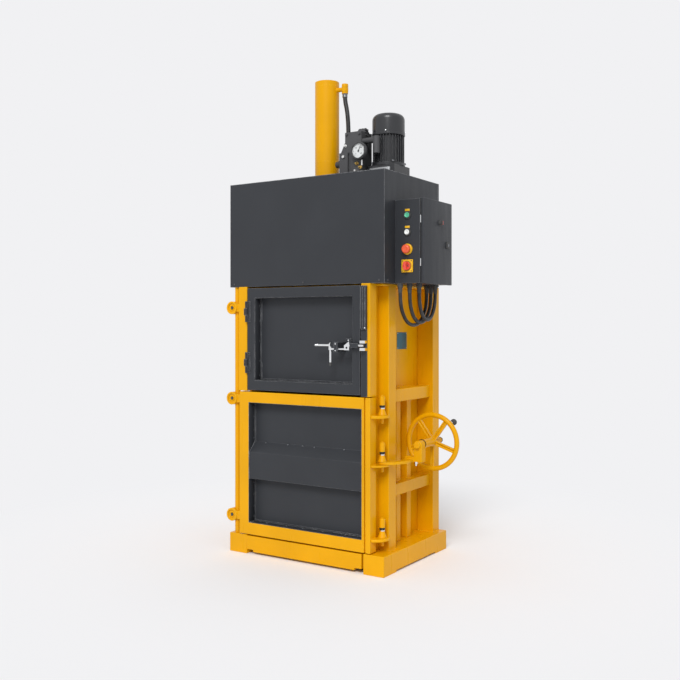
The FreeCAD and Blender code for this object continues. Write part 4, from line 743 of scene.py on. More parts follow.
class BALER_OT_welds(Operator):
    """Weld beads at the posts' feet, the wall bands and the lugs"""

    bl_idname = "baler.welds"
    bl_label = "Weld beads"

    def execute(self, context):
        self.post_feet()
        self.wall_ribs()
        self.lug_roots()
        return {"FINISHED"}

    def post_feet(self):
        """Beads round the foot of each post, on the skids."""
        floor = span("corner_posts")[0].z
        low, high = span("corner_posts")
        outer = high.x
        inner = span("side_walls")[1].x
        depth = (low.y, low.y + 0.080, high.y - 0.080, high.y)
        shape = Shape()
        for side in (-1, 1):
            for front, back in (depth[:2], depth[2:]):
                shape.bead((side * inner, front, floor), (side * outer, front, floor))
                shape.bead((side * outer, front, floor), (side * outer, back, floor))
                shape.bead((side * inner, back, floor), (side * outer, back, floor))
        shape.make("post_foot_welds", yellow_enamel(), "frame", "yellow_paint")

    def wall_ribs(self):
        """Beads along the wall bands, and where they meet the posts."""
        wall = span("side_walls")[1].x
        post_back = span("corner_posts")[0].y + 0.080
        post_front = span("corner_posts")[1].y - 0.080
        reach = span("wall_lattices")[1].x
        shape = Shape()
        for side in (-1, 1):
            for top in BAND_TOPS:
                shape.bead((side * wall, post_back, top), (side * wall, post_front, top))
                for y in (post_back, post_front):
                    shape.bead((side * (wall + 0.012), y, top), (side * reach, y, top))
            shape.bead((side * wall, post_back, 0.109), (side * wall, post_front, 0.109))
        shape.make("wall_band_welds", yellow_enamel(), "frame", "yellow_paint")

    def lug_roots(self):
        """Beads where the lugs leave the bale door's edge."""
        edge = span("bale_door_lugs")[0].x
        front = span("bale_door_lugs")[0].y + 0.004
        back = span("bale_door_frame")[1].y - 0.004
        shape = Shape()
        for height in LUG_FACES:
            shape.bead((edge, front, height), (edge, back, height))
        shape.make("lug_welds", yellow_enamel(), "bale_door", "yellow_paint")


class BALER_OT_sheetwork(Operator):
    """Dark hood, panels, loading door and control box"""

    bl_idname = "baler.sheetwork"
    bl_label = "Sheetwork"

    def execute(self, context):
        for node in DARK_SHEET:
            softened(node, sizes().sheet_edge, anthracite_coat())
        for node in ("jamb_hinges", "loading_door_hinges"):
            finish_node(node, anthracite_coat())
        self.hood_screws()
        self.hood_folds()
        self.side_plate()
        self.hinge_screws()
        self.cover_strip()
        return {"FINISHED"}

    def hood_screws(self):
        low, high = span("hood")
        screws = Shape()
        for x in (-0.491, 0.002, 0.493):
            screws.dome_head((x, low.y, low.z + 0.015), FRONT, 0.011)
        for side in (-1, 1):
            for y in (low.y + 0.035, low.y + 0.27, high.y - 0.035):
                screws.dome_head((side * high.x, y, low.z + 0.015), RIGHT * side, 0.011)
        for x in (-0.40, 0, 0.40):
            for z in (low.z + 0.03, high.z - 0.03):
                screws.dome_head((x, high.y, z), -FRONT, 0.011)
        screws.make("hood_screws", black_iron(), "frame", "dark_paint")

    def hood_folds(self):
        """The lid's hem round the hood's top, and the ring where the cylinder passes."""
        low, high = span("hood")
        hem = Shape()
        for x in (low.x, high.x - 0.012):
            hem.block((x, low.y, high.z), (x + 0.012, high.y, high.z + 0.0012), 0.0005)
        for y in (low.y, high.y - 0.012):
            hem.block((low.x, y, high.z), (high.x, y + 0.012, high.z + 0.0012), 0.0005)
        hem.make("hood_hem", anthracite_coat(), "frame", "dark_paint")
        tube_low, tube_high = span("cylinder_tube")
        axis_x = tube_low.x + 0.115
        axis_y = (tube_low.y + tube_high.y) / 2
        ring = Shape()
        ring.turned([(0.0715, 0.007), (0.0735, 0.008), (0.078, 0.006), (0.086, 0.003), (0.096, 0.0)],
                    (axis_x, axis_y, high.z), UP, 64)
        ring.make("cylinder_seal", cable_rubber(), "frame", "black_rubber")

    def side_plate(self):
        """A bare plate with four rivets on the right wall."""
        wall = span("side_walls")[1].x
        y0, y1 = 0.035, 0.149
        z0, z1 = 1.189, 1.286
        Shape().block((wall, y0, z0), (wall + 0.0014, y1, z1), 0.0006).make(
            "wall_plate", plate_enamel(), "frame", "dark_paint"
        )
        rivets = Shape()
        for y in (y0 + 0.007, y1 - 0.007):
            for z in (z0 + 0.007, z1 - 0.007):
                rivets.dome_head((wall + 0.0013, y, z), RIGHT, 0.006)
        rivets.make("wall_plate_rivets", bright_steel(), "frame", "bright_steel")

    def hinge_screws(self):
        """Two screws in each door leaf of the loading door's hinges, and one in each jamb leaf."""
        edge = span("loading_door_hinges")[1].x
        screws = Shape()
        leaf_front = span("loading_door_frame")[0].y - 0.004
        for foot in DOOR_HINGE_FEET:
            for rise in (0.014, 0.106):
                screws.dome_head((edge - 0.007, leaf_front, foot + rise), FRONT, 0.008)
        screws.make("door_leaf_screws", black_iron(), "loading_door", "dark_paint")
        screws = Shape()
        for foot in DOOR_HINGE_FEET:
            screws.dome_head((span("jamb_hinges")[0].x + 0.007, leaf_front, foot + 0.060), FRONT, 0.008)
        screws.make("jamb_leaf_screws", black_iron(), "frame", "dark_paint")

    def cover_strip(self):
        """Folded ribs on the raised box of the cover strip, and its closing screw."""
        low, high = span("jamb_cover")
        face = low.y
        shape = Shape()
        for x in (low.x + 0.007, low.x + 0.019, low.x + 0.031):
            shape.block((x - 0.0022, face - 0.0025, 1.312), (x + 0.0022, face + 0.001, 1.528), 0.0012)
        shape.make("cover_ribs", anthracite_coat(), "frame", "dark_paint")
        Shape().dome_head((high.x - 0.006, face - 0.0004, 1.312), FRONT, 0.008).make(
            "cover_screw", bright_steel(), "frame", "bright_steel"
        )


class BALER_OT_trays(Operator):
    """Dark trays inside both doors, with their rivets and the ledge's end plates"""

    bl_idname = "baler.trays"
    bl_label = "Door trays"

    def execute(self, context):
        self.bale_door()
        self.loading_door()
        return {"FINISHED"}

    def sides(self, low, high, front, back):
        """Four thin walls round an opening, with a folded lip in each corner."""
        thick = sizes().tray_sheet
        shape = Shape()
        for x in ((low.x, low.x + thick), (high.x - thick, high.x)):
            shape.block((x[0], front, low.z), (x[1], back, high.z), 0.0004)
        for z in ((low.z, low.z + thick), (high.z - thick, high.z)):
            shape.block((low.x, front, z[0]), (high.x, back, z[1]), 0.0004)
        lip = 0.010
        shape.block((low.x + thick, back - 0.003, low.z), (low.x + lip, back, high.z), 0.001)
        shape.block((high.x - lip, back - 0.003, low.z), (high.x - thick, back, high.z), 0.001)
        shape.block((low.x, back - 0.003, low.z + thick), (high.x, back, low.z + lip), 0.001)
        return shape

    def bale_door(self):
        low, high = span("bale_door_panel")
        front = span("bale_door_frame")[0].y + 0.003
        face = high.y - 0.004
        self.sides(low, high, front, face).make(
            "bale_door_tray", anthracite_coat(), "bale_door", "dark_paint"
        )
        rivets = Shape()
        for x in (-0.297, -0.139, -0.037, 0.045, 0.242):
            rivets.dome_head((x, face - 0.004, 0.6445), FRONT + UP * 0.9, 0.009)
        for x in (-0.375, -0.279, -0.139, -0.024, 0.112, 0.260):
            rivets.dome_head((x, face - 0.020, low.z + 0.0014), UP, 0.009)
        for z in (0.850, 0.793, 0.714, 0.669, 0.410, 0.339, 0.268, 0.210):
            rivets.dome_head((low.x + 0.0014, face - 0.009, z), RIGHT, 0.009)
            rivets.dome_head((high.x - 0.0014, face - 0.009, z), -RIGHT, 0.009)
        rivets.make("bale_door_rivets", rivet_steel(), "bale_door", "dark_paint")
        ledge = [(face, 0.4365), (face - 0.0545, 0.4365), (face - 0.0545, 0.5925), (face, 0.650)]
        ends = Shape()
        for x in (low.x + 0.0012, high.x - 0.0042):
            ends.plate([(y, z) for y, z in ledge], (x, 0, 0), (0, 1, 0), UP, 0.003, 0.0008)
        ends.make("ledge_ends", anthracite_coat(), "bale_door", "dark_paint")

    def loading_door(self):
        low, high = span("loading_door_panel")
        front = span("loading_door_frame")[0].y + 0.004
        face = low.y
        self.sides(low, high, front, face).make(
            "loading_door_tray", anthracite_coat(), "loading_door", "dark_paint"
        )
        rivets = Shape()
        for x in (-0.224, -0.058, 0.191):
            rivets.dome_head((x, face - 0.014, low.z + 0.0014), UP, 0.009)
        for z in (1.035, 1.119, 1.235, 1.351, 1.440):
            rivets.dome_head((low.x + 0.0014, face - 0.010, z), RIGHT, 0.008)
        rivets.make("loading_door_rivets", rivet_steel(), "loading_door", "dark_paint")
        seal = Shape()
        for z in ((1.016, 1.110), (1.352, 1.470)):
            seal.bead((low.x + 0.011, face - 0.001, z[0]), (low.x + 0.011, face - 0.001, z[1]))
        seal.make("loading_door_seam", anthracite_coat(), "loading_door", "dark_paint")


class BALER_OT_hinges(Operator):
    """Rings and domed pins of the dished hinge bosses"""

    bl_idname = "baler.hinges"
    bl_label = "Hinge bosses"

    def execute(self, context):
        x = span("upper_jambs")[0].x + 0.0375
        face = span("upper_jambs")[0].y
        for name, height, body in BOSSES:
            self.cap(name, Vector((x, face + 0.007, height)), body)
        return {"FINISHED"}

    def cap(self, name, place, body):
        """A countersunk ring with a domed pin standing in it."""
        ring = Shape()
        ring.turned([(0.0165, 0.0), (0.0165, 0.0022), (0.0145, 0.0030), (0.0115, 0.0022), (0.0115, 0.0)],
                    place, FRONT, 36)
        ring.make(name + "_boss_ring", yellow_enamel(), body, "yellow_paint")
        pin = Shape()
        pin.turned([(0.0085, 0.0), (0.0085, 0.0045), (0.0070, 0.0062), (0.0035, 0.0068), (0, 0.0068)],
                   place, FRONT, 28)
        pin.make(name + "_boss_pin", black_iron(), body, "black_iron")


class BALER_OT_lock(Operator):
    """Collars of the lug pins, bolt of the arm, the black ring of painted shade at the spindle, and grip"""

    bl_idname = "baler.lock"
    bl_label = "Lock"

    def execute(self, context):
        self.collars()
        self.arm_bolt()
        self.spindle_ring()
        self.grip()
        return {"FINISHED"}

    def collars(self):
        """A black ring over a bright one, on each lug pin under its sleeve."""
        low, high = span("lug_pins")
        axis = Vector(((low.x + high.x) / 2, (low.y + high.y) / 2, 0))
        black = Shape()
        bright = Shape()
        for foot in PIN_COLLAR_FEET:
            place = axis + UP * foot
            bright.turned([(0.0130, 0.0), (0.0139, 0.001), (0.0139, 0.0065), (0.0130, 0.0075)], place, UP, 36)
            black.turned([(0.0130, 0.0075), (0.0149, 0.009), (0.0153, 0.0125), (0.0149, 0.0185),
                          (0.0130, 0.0198)],
                         place, UP, 36)
        bright.make("pin_collars", bright_steel(), "bale_door", "bright_steel")
        black.make("pin_rings", ring_rubber(), "bale_door", "black_rubber")
        caps = Shape()
        for top in PIN_TOPS:
            caps.turned([(0.0072, -0.001), (0.0072, 0.003), (0.0052, 0.0045), (0, 0.0048)], axis + UP * top,
                        UP, 24)
        caps.make("pin_caps", yellow_enamel(), "bale_door", "yellow_paint")

    def arm_bolt(self):
        """The bright nut and bolt end under the arm, below the spindle's head."""
        place = Vector((0.566, -0.092, 0.581))
        shape = Shape()
        shape.hex_head(place, -UP, 0.022, 0.5)
        shape.turned([(0.006, 0), (0.006, 0.022), (0.0048, 0.0245), (0, 0.0245)], place, -UP, 24)
        shape.make("arm_bolt", bright_steel(), "lock_arm", "bright_steel")

    def spindle_ring(self):
        """Black ring in the gap between the arm's head and the spindle's sleeve, a painted shadow of that
        gap.
        """
        centre = middle("handwheel")
        place = Vector((centre.x, -0.0688, centre.z))
        shape = Shape()
        shape.turned([(0.0152, 0.0), (0.0262, 0.0), (0.0268, 0.0013), (0.0262, 0.0026), (0.0152, 0.0026)],
                     place, -FRONT, 48)
        shape.make("spindle_ring", ring_rubber(), "handwheel", "black_rubber")
        nut = Shape()
        nut.hex_head(Vector((centre.x, 0.150, centre.z)), -FRONT, 0.026, 0.45)
        nut.make("spindle_nut", rivet_steel(), "handwheel", "yellow_paint")

    def grip(self):
        """The black grip: a tapered handle that ends in a ball, on a bright stem."""
        low, high = span("wheel_grip")
        place = Vector(((low.x + high.x) / 2, low.y, (low.z + high.z) / 2))
        stem = Shape()
        stem.turned([(0.006, 0), (0.006, 0.020), (0.0084, 0.021), (0.0084, 0.026), (0.006, 0.027),
                     (0.006, 0.032)],
                    place, -FRONT, 28)
        stem.make("grip_stem", bright_steel(), "handwheel", "bright_steel")
        long = high.y - low.y
        ball = 0.018
        profile = [(0.0062, 0.0265), (0.0105, 0.0270), (0.0120, 0.0290), (0.0112, 0.034)]
        for step in range(13):
            angle = math.radians(-52 + step * 142 / 12)
            profile.append((ball * math.cos(angle), long - ball + ball * math.sin(angle)))
        profile[-1] = (0, long)
        handle = Shape().turned(profile, place, -FRONT, 36).make(
            "grip_handle", black_plastic(), "handwheel", "black_plastic"
        )
        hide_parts("wheel_grip")


class BALER_OT_latch(Operator):
    """Plated latch bolt with its screws, and the drop handle's dark tip"""

    bl_idname = "baler.latch"
    bl_label = "Latch"

    def execute(self, context):
        softened("latch_bolt", sizes().small_edge, bright_steel())
        softened("latch_keeper", sizes().small_edge, bright_steel())
        low = span("latch_bolt")[0]
        handle_x = 0.200
        axis_y = -0.386
        tip = Shape()
        tip.turned([(0.0062, 0), (0.0080, 0.0008), (0.0082, 0.014), (0.0072, 0.019), (0.0055, 0.021)],
                   (handle_x, axis_y, low.z - 0.0005), UP, 28)
        tip.make("handle_tip", black_plastic(), "latch_bolt", "black_plastic")
        screws = Shape()
        front = span("latch_guide")[0].y
        screws.dome_head((0.239, front, 1.226), FRONT, 0.009)
        screws.dome_head((0.239, front, 1.190), FRONT, 0.009)
        screws.make("guide_screws", bright_steel(), "loading_door", "bright_steel")
        boss = Shape()
        boss.block((0.262, -0.330, 1.230), (0.298, -0.313, 1.256), 0.002)
        boss.make("guide_stop", anthracite_coat(), "loading_door", "dark_paint")
        Shape().dome_head((0.280, -0.330, 1.244), FRONT, 0.010).make(
            "guide_stop_screw", bright_steel(), "loading_door", "bright_steel"
        )
        grooves = Shape()
        for x in (0.106, 0.112, 0.118):
            grooves.turned([(0.0070, 0), (0.0076, 0.0012), (0.0070, 0.0024)], (x, axis_y, 1.218), RIGHT, 28)
        grooves.make("handle_grooves", bright_steel(), "latch_bolt", "bright_steel")
        return {"FINISHED"}


class BALER_OT_drive(Operator):
    """Motor, pump, valve block, fittings and rod"""

    bl_idname = "baler.drive"
    bl_label = "Drive"

    def execute(self, context):
        softened("motor_body", sizes().small_edge, motor_enamel())
        softened("valve_block", sizes().sheet_edge, black_iron())
        softened("valve_solenoid", sizes().sheet_edge, black_plastic())
        finish_node("piston_rod", bright_steel())
        self.cowl()
        self.flange()
        self.valve_parts()
        return {"FINISHED"}

    def cowl(self):
        """The fan cowl: a drum with a rolled foot, a rounded crown and a slotted top."""
        low, high = span("motor_cowl")
        place = Vector(((low.x + high.x) / 2, (low.y + high.y) / 2, low.z))
        radius = (high.x - low.x) / 2
        tall = high.z - low.z
        crown = 0.034
        profile = [(0, 0.002), (radius - 0.003, 0.0), (radius, 0.002), (radius, 0.012),
                   (radius - 0.002, 0.0135),
                   (radius - 0.002, tall - crown)]
        for step in range(1, 9):
            angle = math.radians(step * 90 / 8)
            profile.append((radius - crown + (crown - 0.002) * math.cos(angle),
                            tall - crown + crown * math.sin(angle)))
        rim = radius - crown - 0.002
        profile += [(rim, tall - 0.003), (rim - 0.004, tall - 0.009), (0.018, tall - 0.009),
                    (0.016, tall - 0.006),
                    (0, tall - 0.006)]
        drum = Shape().turned(profile, place, UP, 72).make("motor_cowl_drum", motor_enamel(), "frame",
                                                           "motor_paint")
        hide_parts("motor_cowl")
        bars = Shape()
        for number in range(18):
            angle = math.tau * number / 18
            out = Vector((math.cos(angle), math.sin(angle), 0))
            side = Vector((-out.y, out.x, 0))
            bars.plate([(0.016, -0.0022), (rim, -0.0034), (rim, 0.0034), (0.016, 0.0022)],
                       place + UP * (tall - 0.0085), out, side, 0.0035, 0.0005)
        for ring in (0.026, 0.038):
            bars.turned([(ring - 0.0015, 0), (ring - 0.0015, 0.0045), (ring + 0.0015, 0.0045),
                         (ring + 0.0015, 0)],
                        place + UP * (tall - 0.0088), UP, 48)
        bars.make("cowl_grille", motor_enamel(), "frame", "motor_paint")
        screws = Shape()
        for degrees in (-70, 20, 110, 200):
            angle = math.radians(degrees)
            out = Vector((math.cos(angle), math.sin(angle), 0))
            screws.dome_head(place + out * (radius - 0.0005) + UP * 0.020, out, 0.009)
        screws.make("cowl_screws", bright_steel(), "frame", "bright_steel")

    def flange(self):
        """The pump's cast flange under the motor, with its bolts."""
        low, high = span("motor_body")
        centre = Vector(((low.x + high.x) / 2, (low.y + high.y) / 2, low.z))
        shape = Shape()
        front = centre.y - 0.088
        shape.block((centre.x - 0.070, front - 0.010, low.z), (centre.x + 0.062, front + 0.020,
                                                               low.z + 0.060), 0.006, 3)
        shape.make("pump_flange", cast_aluminium(), "frame", "bright_steel")
        bolts = Shape()
        for x in (-0.052, 0.044):
            bolts.hex_head((centre.x + x, front - 0.010, low.z + 0.032), FRONT, 0.015)
        for x in (-0.066, 0.066):
            for y in (-0.066, 0.066):
                bolts.hex_head((centre.x + x * 1.02, centre.y + y * 1.02, low.z + 0.090), UP, 0.013)
        bolts.make("pump_bolts", rivet_steel(), "frame", "bright_steel")

    def valve_parts(self):
        """Bolts of the pump head, plugs of the block, and the brass test points."""
        low, high = span("valve_block")
        front = -0.160
        step = low.y
        bright = Shape()
        bright.turned([(0.0095, 0), (0.0095, 0.006), (0.0075, 0.009), (0, 0.0095)], (0.147, step, 2.279),
                      FRONT, 24)
        bright.hex_head((0.152, front, 2.343), FRONT, 0.013)
        bright.make("valve_plugs", plated_steel(), "frame", "bright_steel")
        bolts = Shape()
        for x, z in ((0.160, 2.405), (0.245, 2.405), (0.134, 2.160), (0.170, 2.300)):
            bolts.hex_head((x, front if z > 2.29 else step, z), FRONT, 0.014)
        right = 0.256
        top = high.z - 0.023
        for number in range(6):
            angle = math.tau * number / 6
            bolts.hex_head((right, -0.102 + 0.017 * math.cos(angle), top + 0.017 * math.sin(angle)), RIGHT,
                           0.008)
        bolts.make("valve_bolts", black_iron(), "frame", "black_iron")
        head = Shape()
        head.turned([(0.0235, 0), (0.0255, 0.002), (0.0255, 0.008), (0.0235, 0.010)], (0.212, -0.102, top),
                    RIGHT, 40)
        head.turned([(0.0235, 0), (0.0255, 0.002), (0.0255, 0.008), (0.0235, 0.010)], (0.228, -0.102, top),
                    RIGHT, 40)
        head.turned([(0.0235, 0), (0.0255, 0.002), (0.0255, 0.006), (0.0235, 0.008)], (0.246, -0.102, top),
                    RIGHT, 40)
        head.make("pump_head_rings", black_iron(), "frame", "black_iron")
        brass = Shape()
        for x, z in ((0.251, 2.213), (0.228, 2.236)):
            brass.hex_head((x, front, z), FRONT, 0.016, 0.5)
            brass.turned([(0.0055, 0), (0.0055, 0.016), (0.0042, 0.018), (0, 0.018)], (x, front, z), FRONT,
                         20)
        brass.make("test_points", worn_brass(), "frame", "bright_steel")
        caps = Shape()
        for x, z in ((0.222, 2.196), (0.246, 2.178)):
            caps.turned([(0.007, 0), (0.007, 0.014), (0.0055, 0.017), (0, 0.0175)], (x, front, z), FRONT, 20)
        caps.turned([(0.0045, 0.0), (0.0045, 0.030), (0.003, 0.032), (0, 0.032)],
                    (0.264, front - 0.006, 2.222), UP, 16)
        caps.make("bleed_caps", plated_steel(), "frame", "bright_steel")
        coil = Shape()
        coil_low, coil_high = span("valve_solenoid")
        centre = (coil_low + coil_high) / 2
        coil.turned([(0.010, 0), (0.010, 0.003), (0.008, 0.005), (0, 0.0052)],
                    (coil_low.x, centre.y, centre.z), -RIGHT, 24)
        coil.make("coil_nut", plated_steel(), "frame", "bright_steel")


class BALER_OT_gauge(Operator):
    """Pressure gauge: case, dial, marks, plain numbers, needle and bezel"""

    bl_idname = "baler.gauge"
    bl_label = "Pressure gauge"

    def execute(self, context):
        low, high = span("pressure_gauge")
        radius = (high.x - low.x) / 2
        centre = Vector(((low.x + high.x) / 2, low.y, (low.z + high.z) / 2))
        self.case(centre, radius, high.y - low.y)
        self.dial(centre - FRONT * 0.0052, radius - 0.010)
        return {"FINISHED"}

    def case(self, centre, radius, deep):
        case = Shape()
        case.turned([
            (0, 0.006), (radius - 0.009, 0.006), (radius - 0.0085, 0.002), (radius - 0.006, 0.0),
            (radius - 0.002, 0.0), (radius, 0.003), (radius, 0.012), (radius - 0.003, 0.014),
            (radius - 0.003, deep * 0.72), (radius * 0.6, deep), (0, deep),
        ], centre, -FRONT, 56)
        obj = case.make("gauge_case", black_iron(), "frame", "black_iron")
        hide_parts("pressure_gauge")
        bezel = Shape()
        bezel.turned([
            (radius * 0.90, -0.002), (radius * 0.99, -0.002), (radius * 1.0, 0.0005), (radius * 1.0, 0.004),
        ], centre, -FRONT, 6, math.pi / 2)
        bezel.turned([(radius * 0.80, 0.003), (radius * 0.84, -0.0022), (radius * 0.88, -0.0022)], centre,
                     -FRONT, 56)
        bezel.make("gauge_bezel", black_plastic(), "frame", "black_plastic")

    def dial(self, centre, radius):
        face = Shape()
        face.turned([(0, 0), (radius * 0.98, 0), (radius, 0.0004)], centre, FRONT, 56)
        face.make("gauge_dial", dial_enamel(), "frame", "gauge_face")
        marks = Shape()
        sweep = 270
        steps = 30
        for number in range(steps + 1):
            angle = math.radians(225 - sweep * number / steps)
            out = Vector((math.cos(angle), 0, math.sin(angle)))
            side = Vector((out.z, 0, -out.x))
            long = number % 5 == 0
            inner = radius * (0.76 if long else 0.84)
            half = 0.0007 if long else 0.0004
            marks.plate([(inner, -half), (radius * 0.92, -half), (radius * 0.92, half), (inner, half)],
                        centre + FRONT * 0.0003, out, side, -0.0003)
        angle = math.radians(62)
        out = Vector((math.cos(angle), 0, math.sin(angle)))
        side = Vector((out.z, 0, -out.x))
        marks.plate([(-radius * 0.22, -0.0022), (radius * 0.78, -0.0004), (radius * 0.78, 0.0004),
                     (-radius * 0.22, 0.0022)],
                    centre + FRONT * 0.0018, out, side, -0.0006)
        marks.turned([(0.0042, 0), (0.0042, 0.003), (0.0025, 0.0036), (0, 0.0036)], centre, FRONT, 24)
        marks.make("gauge_needle_and_marks", dial_print(), "frame", "black_plastic")
        for number in range(4):
            angle = math.radians(225 - sweep * number / 3)
            place = centre + Vector((math.cos(angle), 0, math.sin(angle))) * radius * 0.58
            self.number(str(number * 100), place)

    def number(self, words, place):
        """A printed number standing on the dial."""
        curve = bpy.data.curves.new("dial_number_" + words, "FONT")
        curve.body = words
        curve.size = 0.0082
        curve.extrude = 0.0001
        curve.align_x = "CENTER"
        curve.align_y = "CENTER"
        draft = bpy.data.objects.new("dial_number_draft", curve)
        mesh = bpy.data.meshes.new_from_object(draft)
        bpy.data.objects.remove(draft)
        bpy.data.curves.remove(curve)
        mesh.transform(Matrix.Translation(place + FRONT * 0.0004) @ Matrix.Rotation(math.pi / 2, 4, "X"))
        mesh.materials.clear()
        new_object("dial_number_" + words, mesh, dial_print(), "frame")


class BALER_OT_control_box(Operator):
    """Control box door with its knob, lock and hinges"""

    bl_idname = "baler.control_box"
    bl_label = "Control box"

    def execute(self, context):
        low, high = span("control_box_door")
        face = low.x + 0.018
        door = Shape()
        door.block(low, (face, high.y, high.z), 0.003, 3)
        obj = door.make("control_door_plate", anthracite_coat(), "control_box_door", "dark_paint")
        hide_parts("control_box_door")
        finish_node("control_box_hinges", bright_steel())
        knob_place = Vector((face, -0.069, 1.881))
        knob = Shape()
        knob.turned([(0.0150, 0), (0.0150, 0.003), (0.0125, 0.0042), (0.0120, 0.0110), (0.0105, 0.0125),
                     (0, 0.0125)],
                    knob_place, RIGHT, 36)
        knob.block(knob_place + Vector((0.010, -0.004, -0.012)), knob_place + Vector((0.019, 0.004, 0.012)),
                   0.002)
        knob.make("door_knob", black_plastic(), "control_box_door", "black_plastic")
        mark = Shape()
        mark.block(knob_place + Vector((0.002, 0.004, -0.0115)),
                   knob_place + Vector((0.0165, 0.0135, 0.0115)), 0.003)
        mark.make("door_knob_mark", red_plastic(), "control_box_door", "red_plastic")
        lock = Shape()
        place = Vector((face, 0.022, 1.765))
        lock.block(place + Vector((-0.001, -0.015, -0.0185)), place + Vector((0.008, 0.015, 0.0185)), 0.002)
        lock.make("door_lock", black_plastic(), "control_box_door", "black_plastic")
        barrel = Shape()
        barrel.turned([(0.0085, 0.007), (0.0085, 0.009), (0.0065, 0.010), (0.0045, 0.0088), (0, 0.0088)],
                      place, RIGHT, 28)
        barrel.make("door_lock_barrel", rivet_steel(), "control_box_door", "bright_steel")
        # Black strips in the gap between the box and its door: painted shade of that gap.
        gap_shade_strips = Shape()
        box_low, box_high = span("control_box")
        for y in ((box_low.y + 0.001, box_low.y + 0.006), (box_high.y - 0.006, box_high.y - 0.001)):
            gap_shade_strips.block((box_high.x - 0.002, y[0], box_low.z + 0.003),
                         (box_high.x + 0.0045, y[1], box_high.z - 0.003), 0.001)
        for z in ((box_low.z + 0.001, box_low.z + 0.006), (box_high.z - 0.006, box_high.z - 0.001)):
            gap_shade_strips.block((box_high.x - 0.002, box_low.y + 0.003, z[0]),
                         (box_high.x + 0.0045, box_high.y - 0.003, z[1]), 0.001)
        gap_shade_strips.make("control_box_gap_shade", ring_rubber(), "frame", "black_rubber")
        return {"FINISHED"}


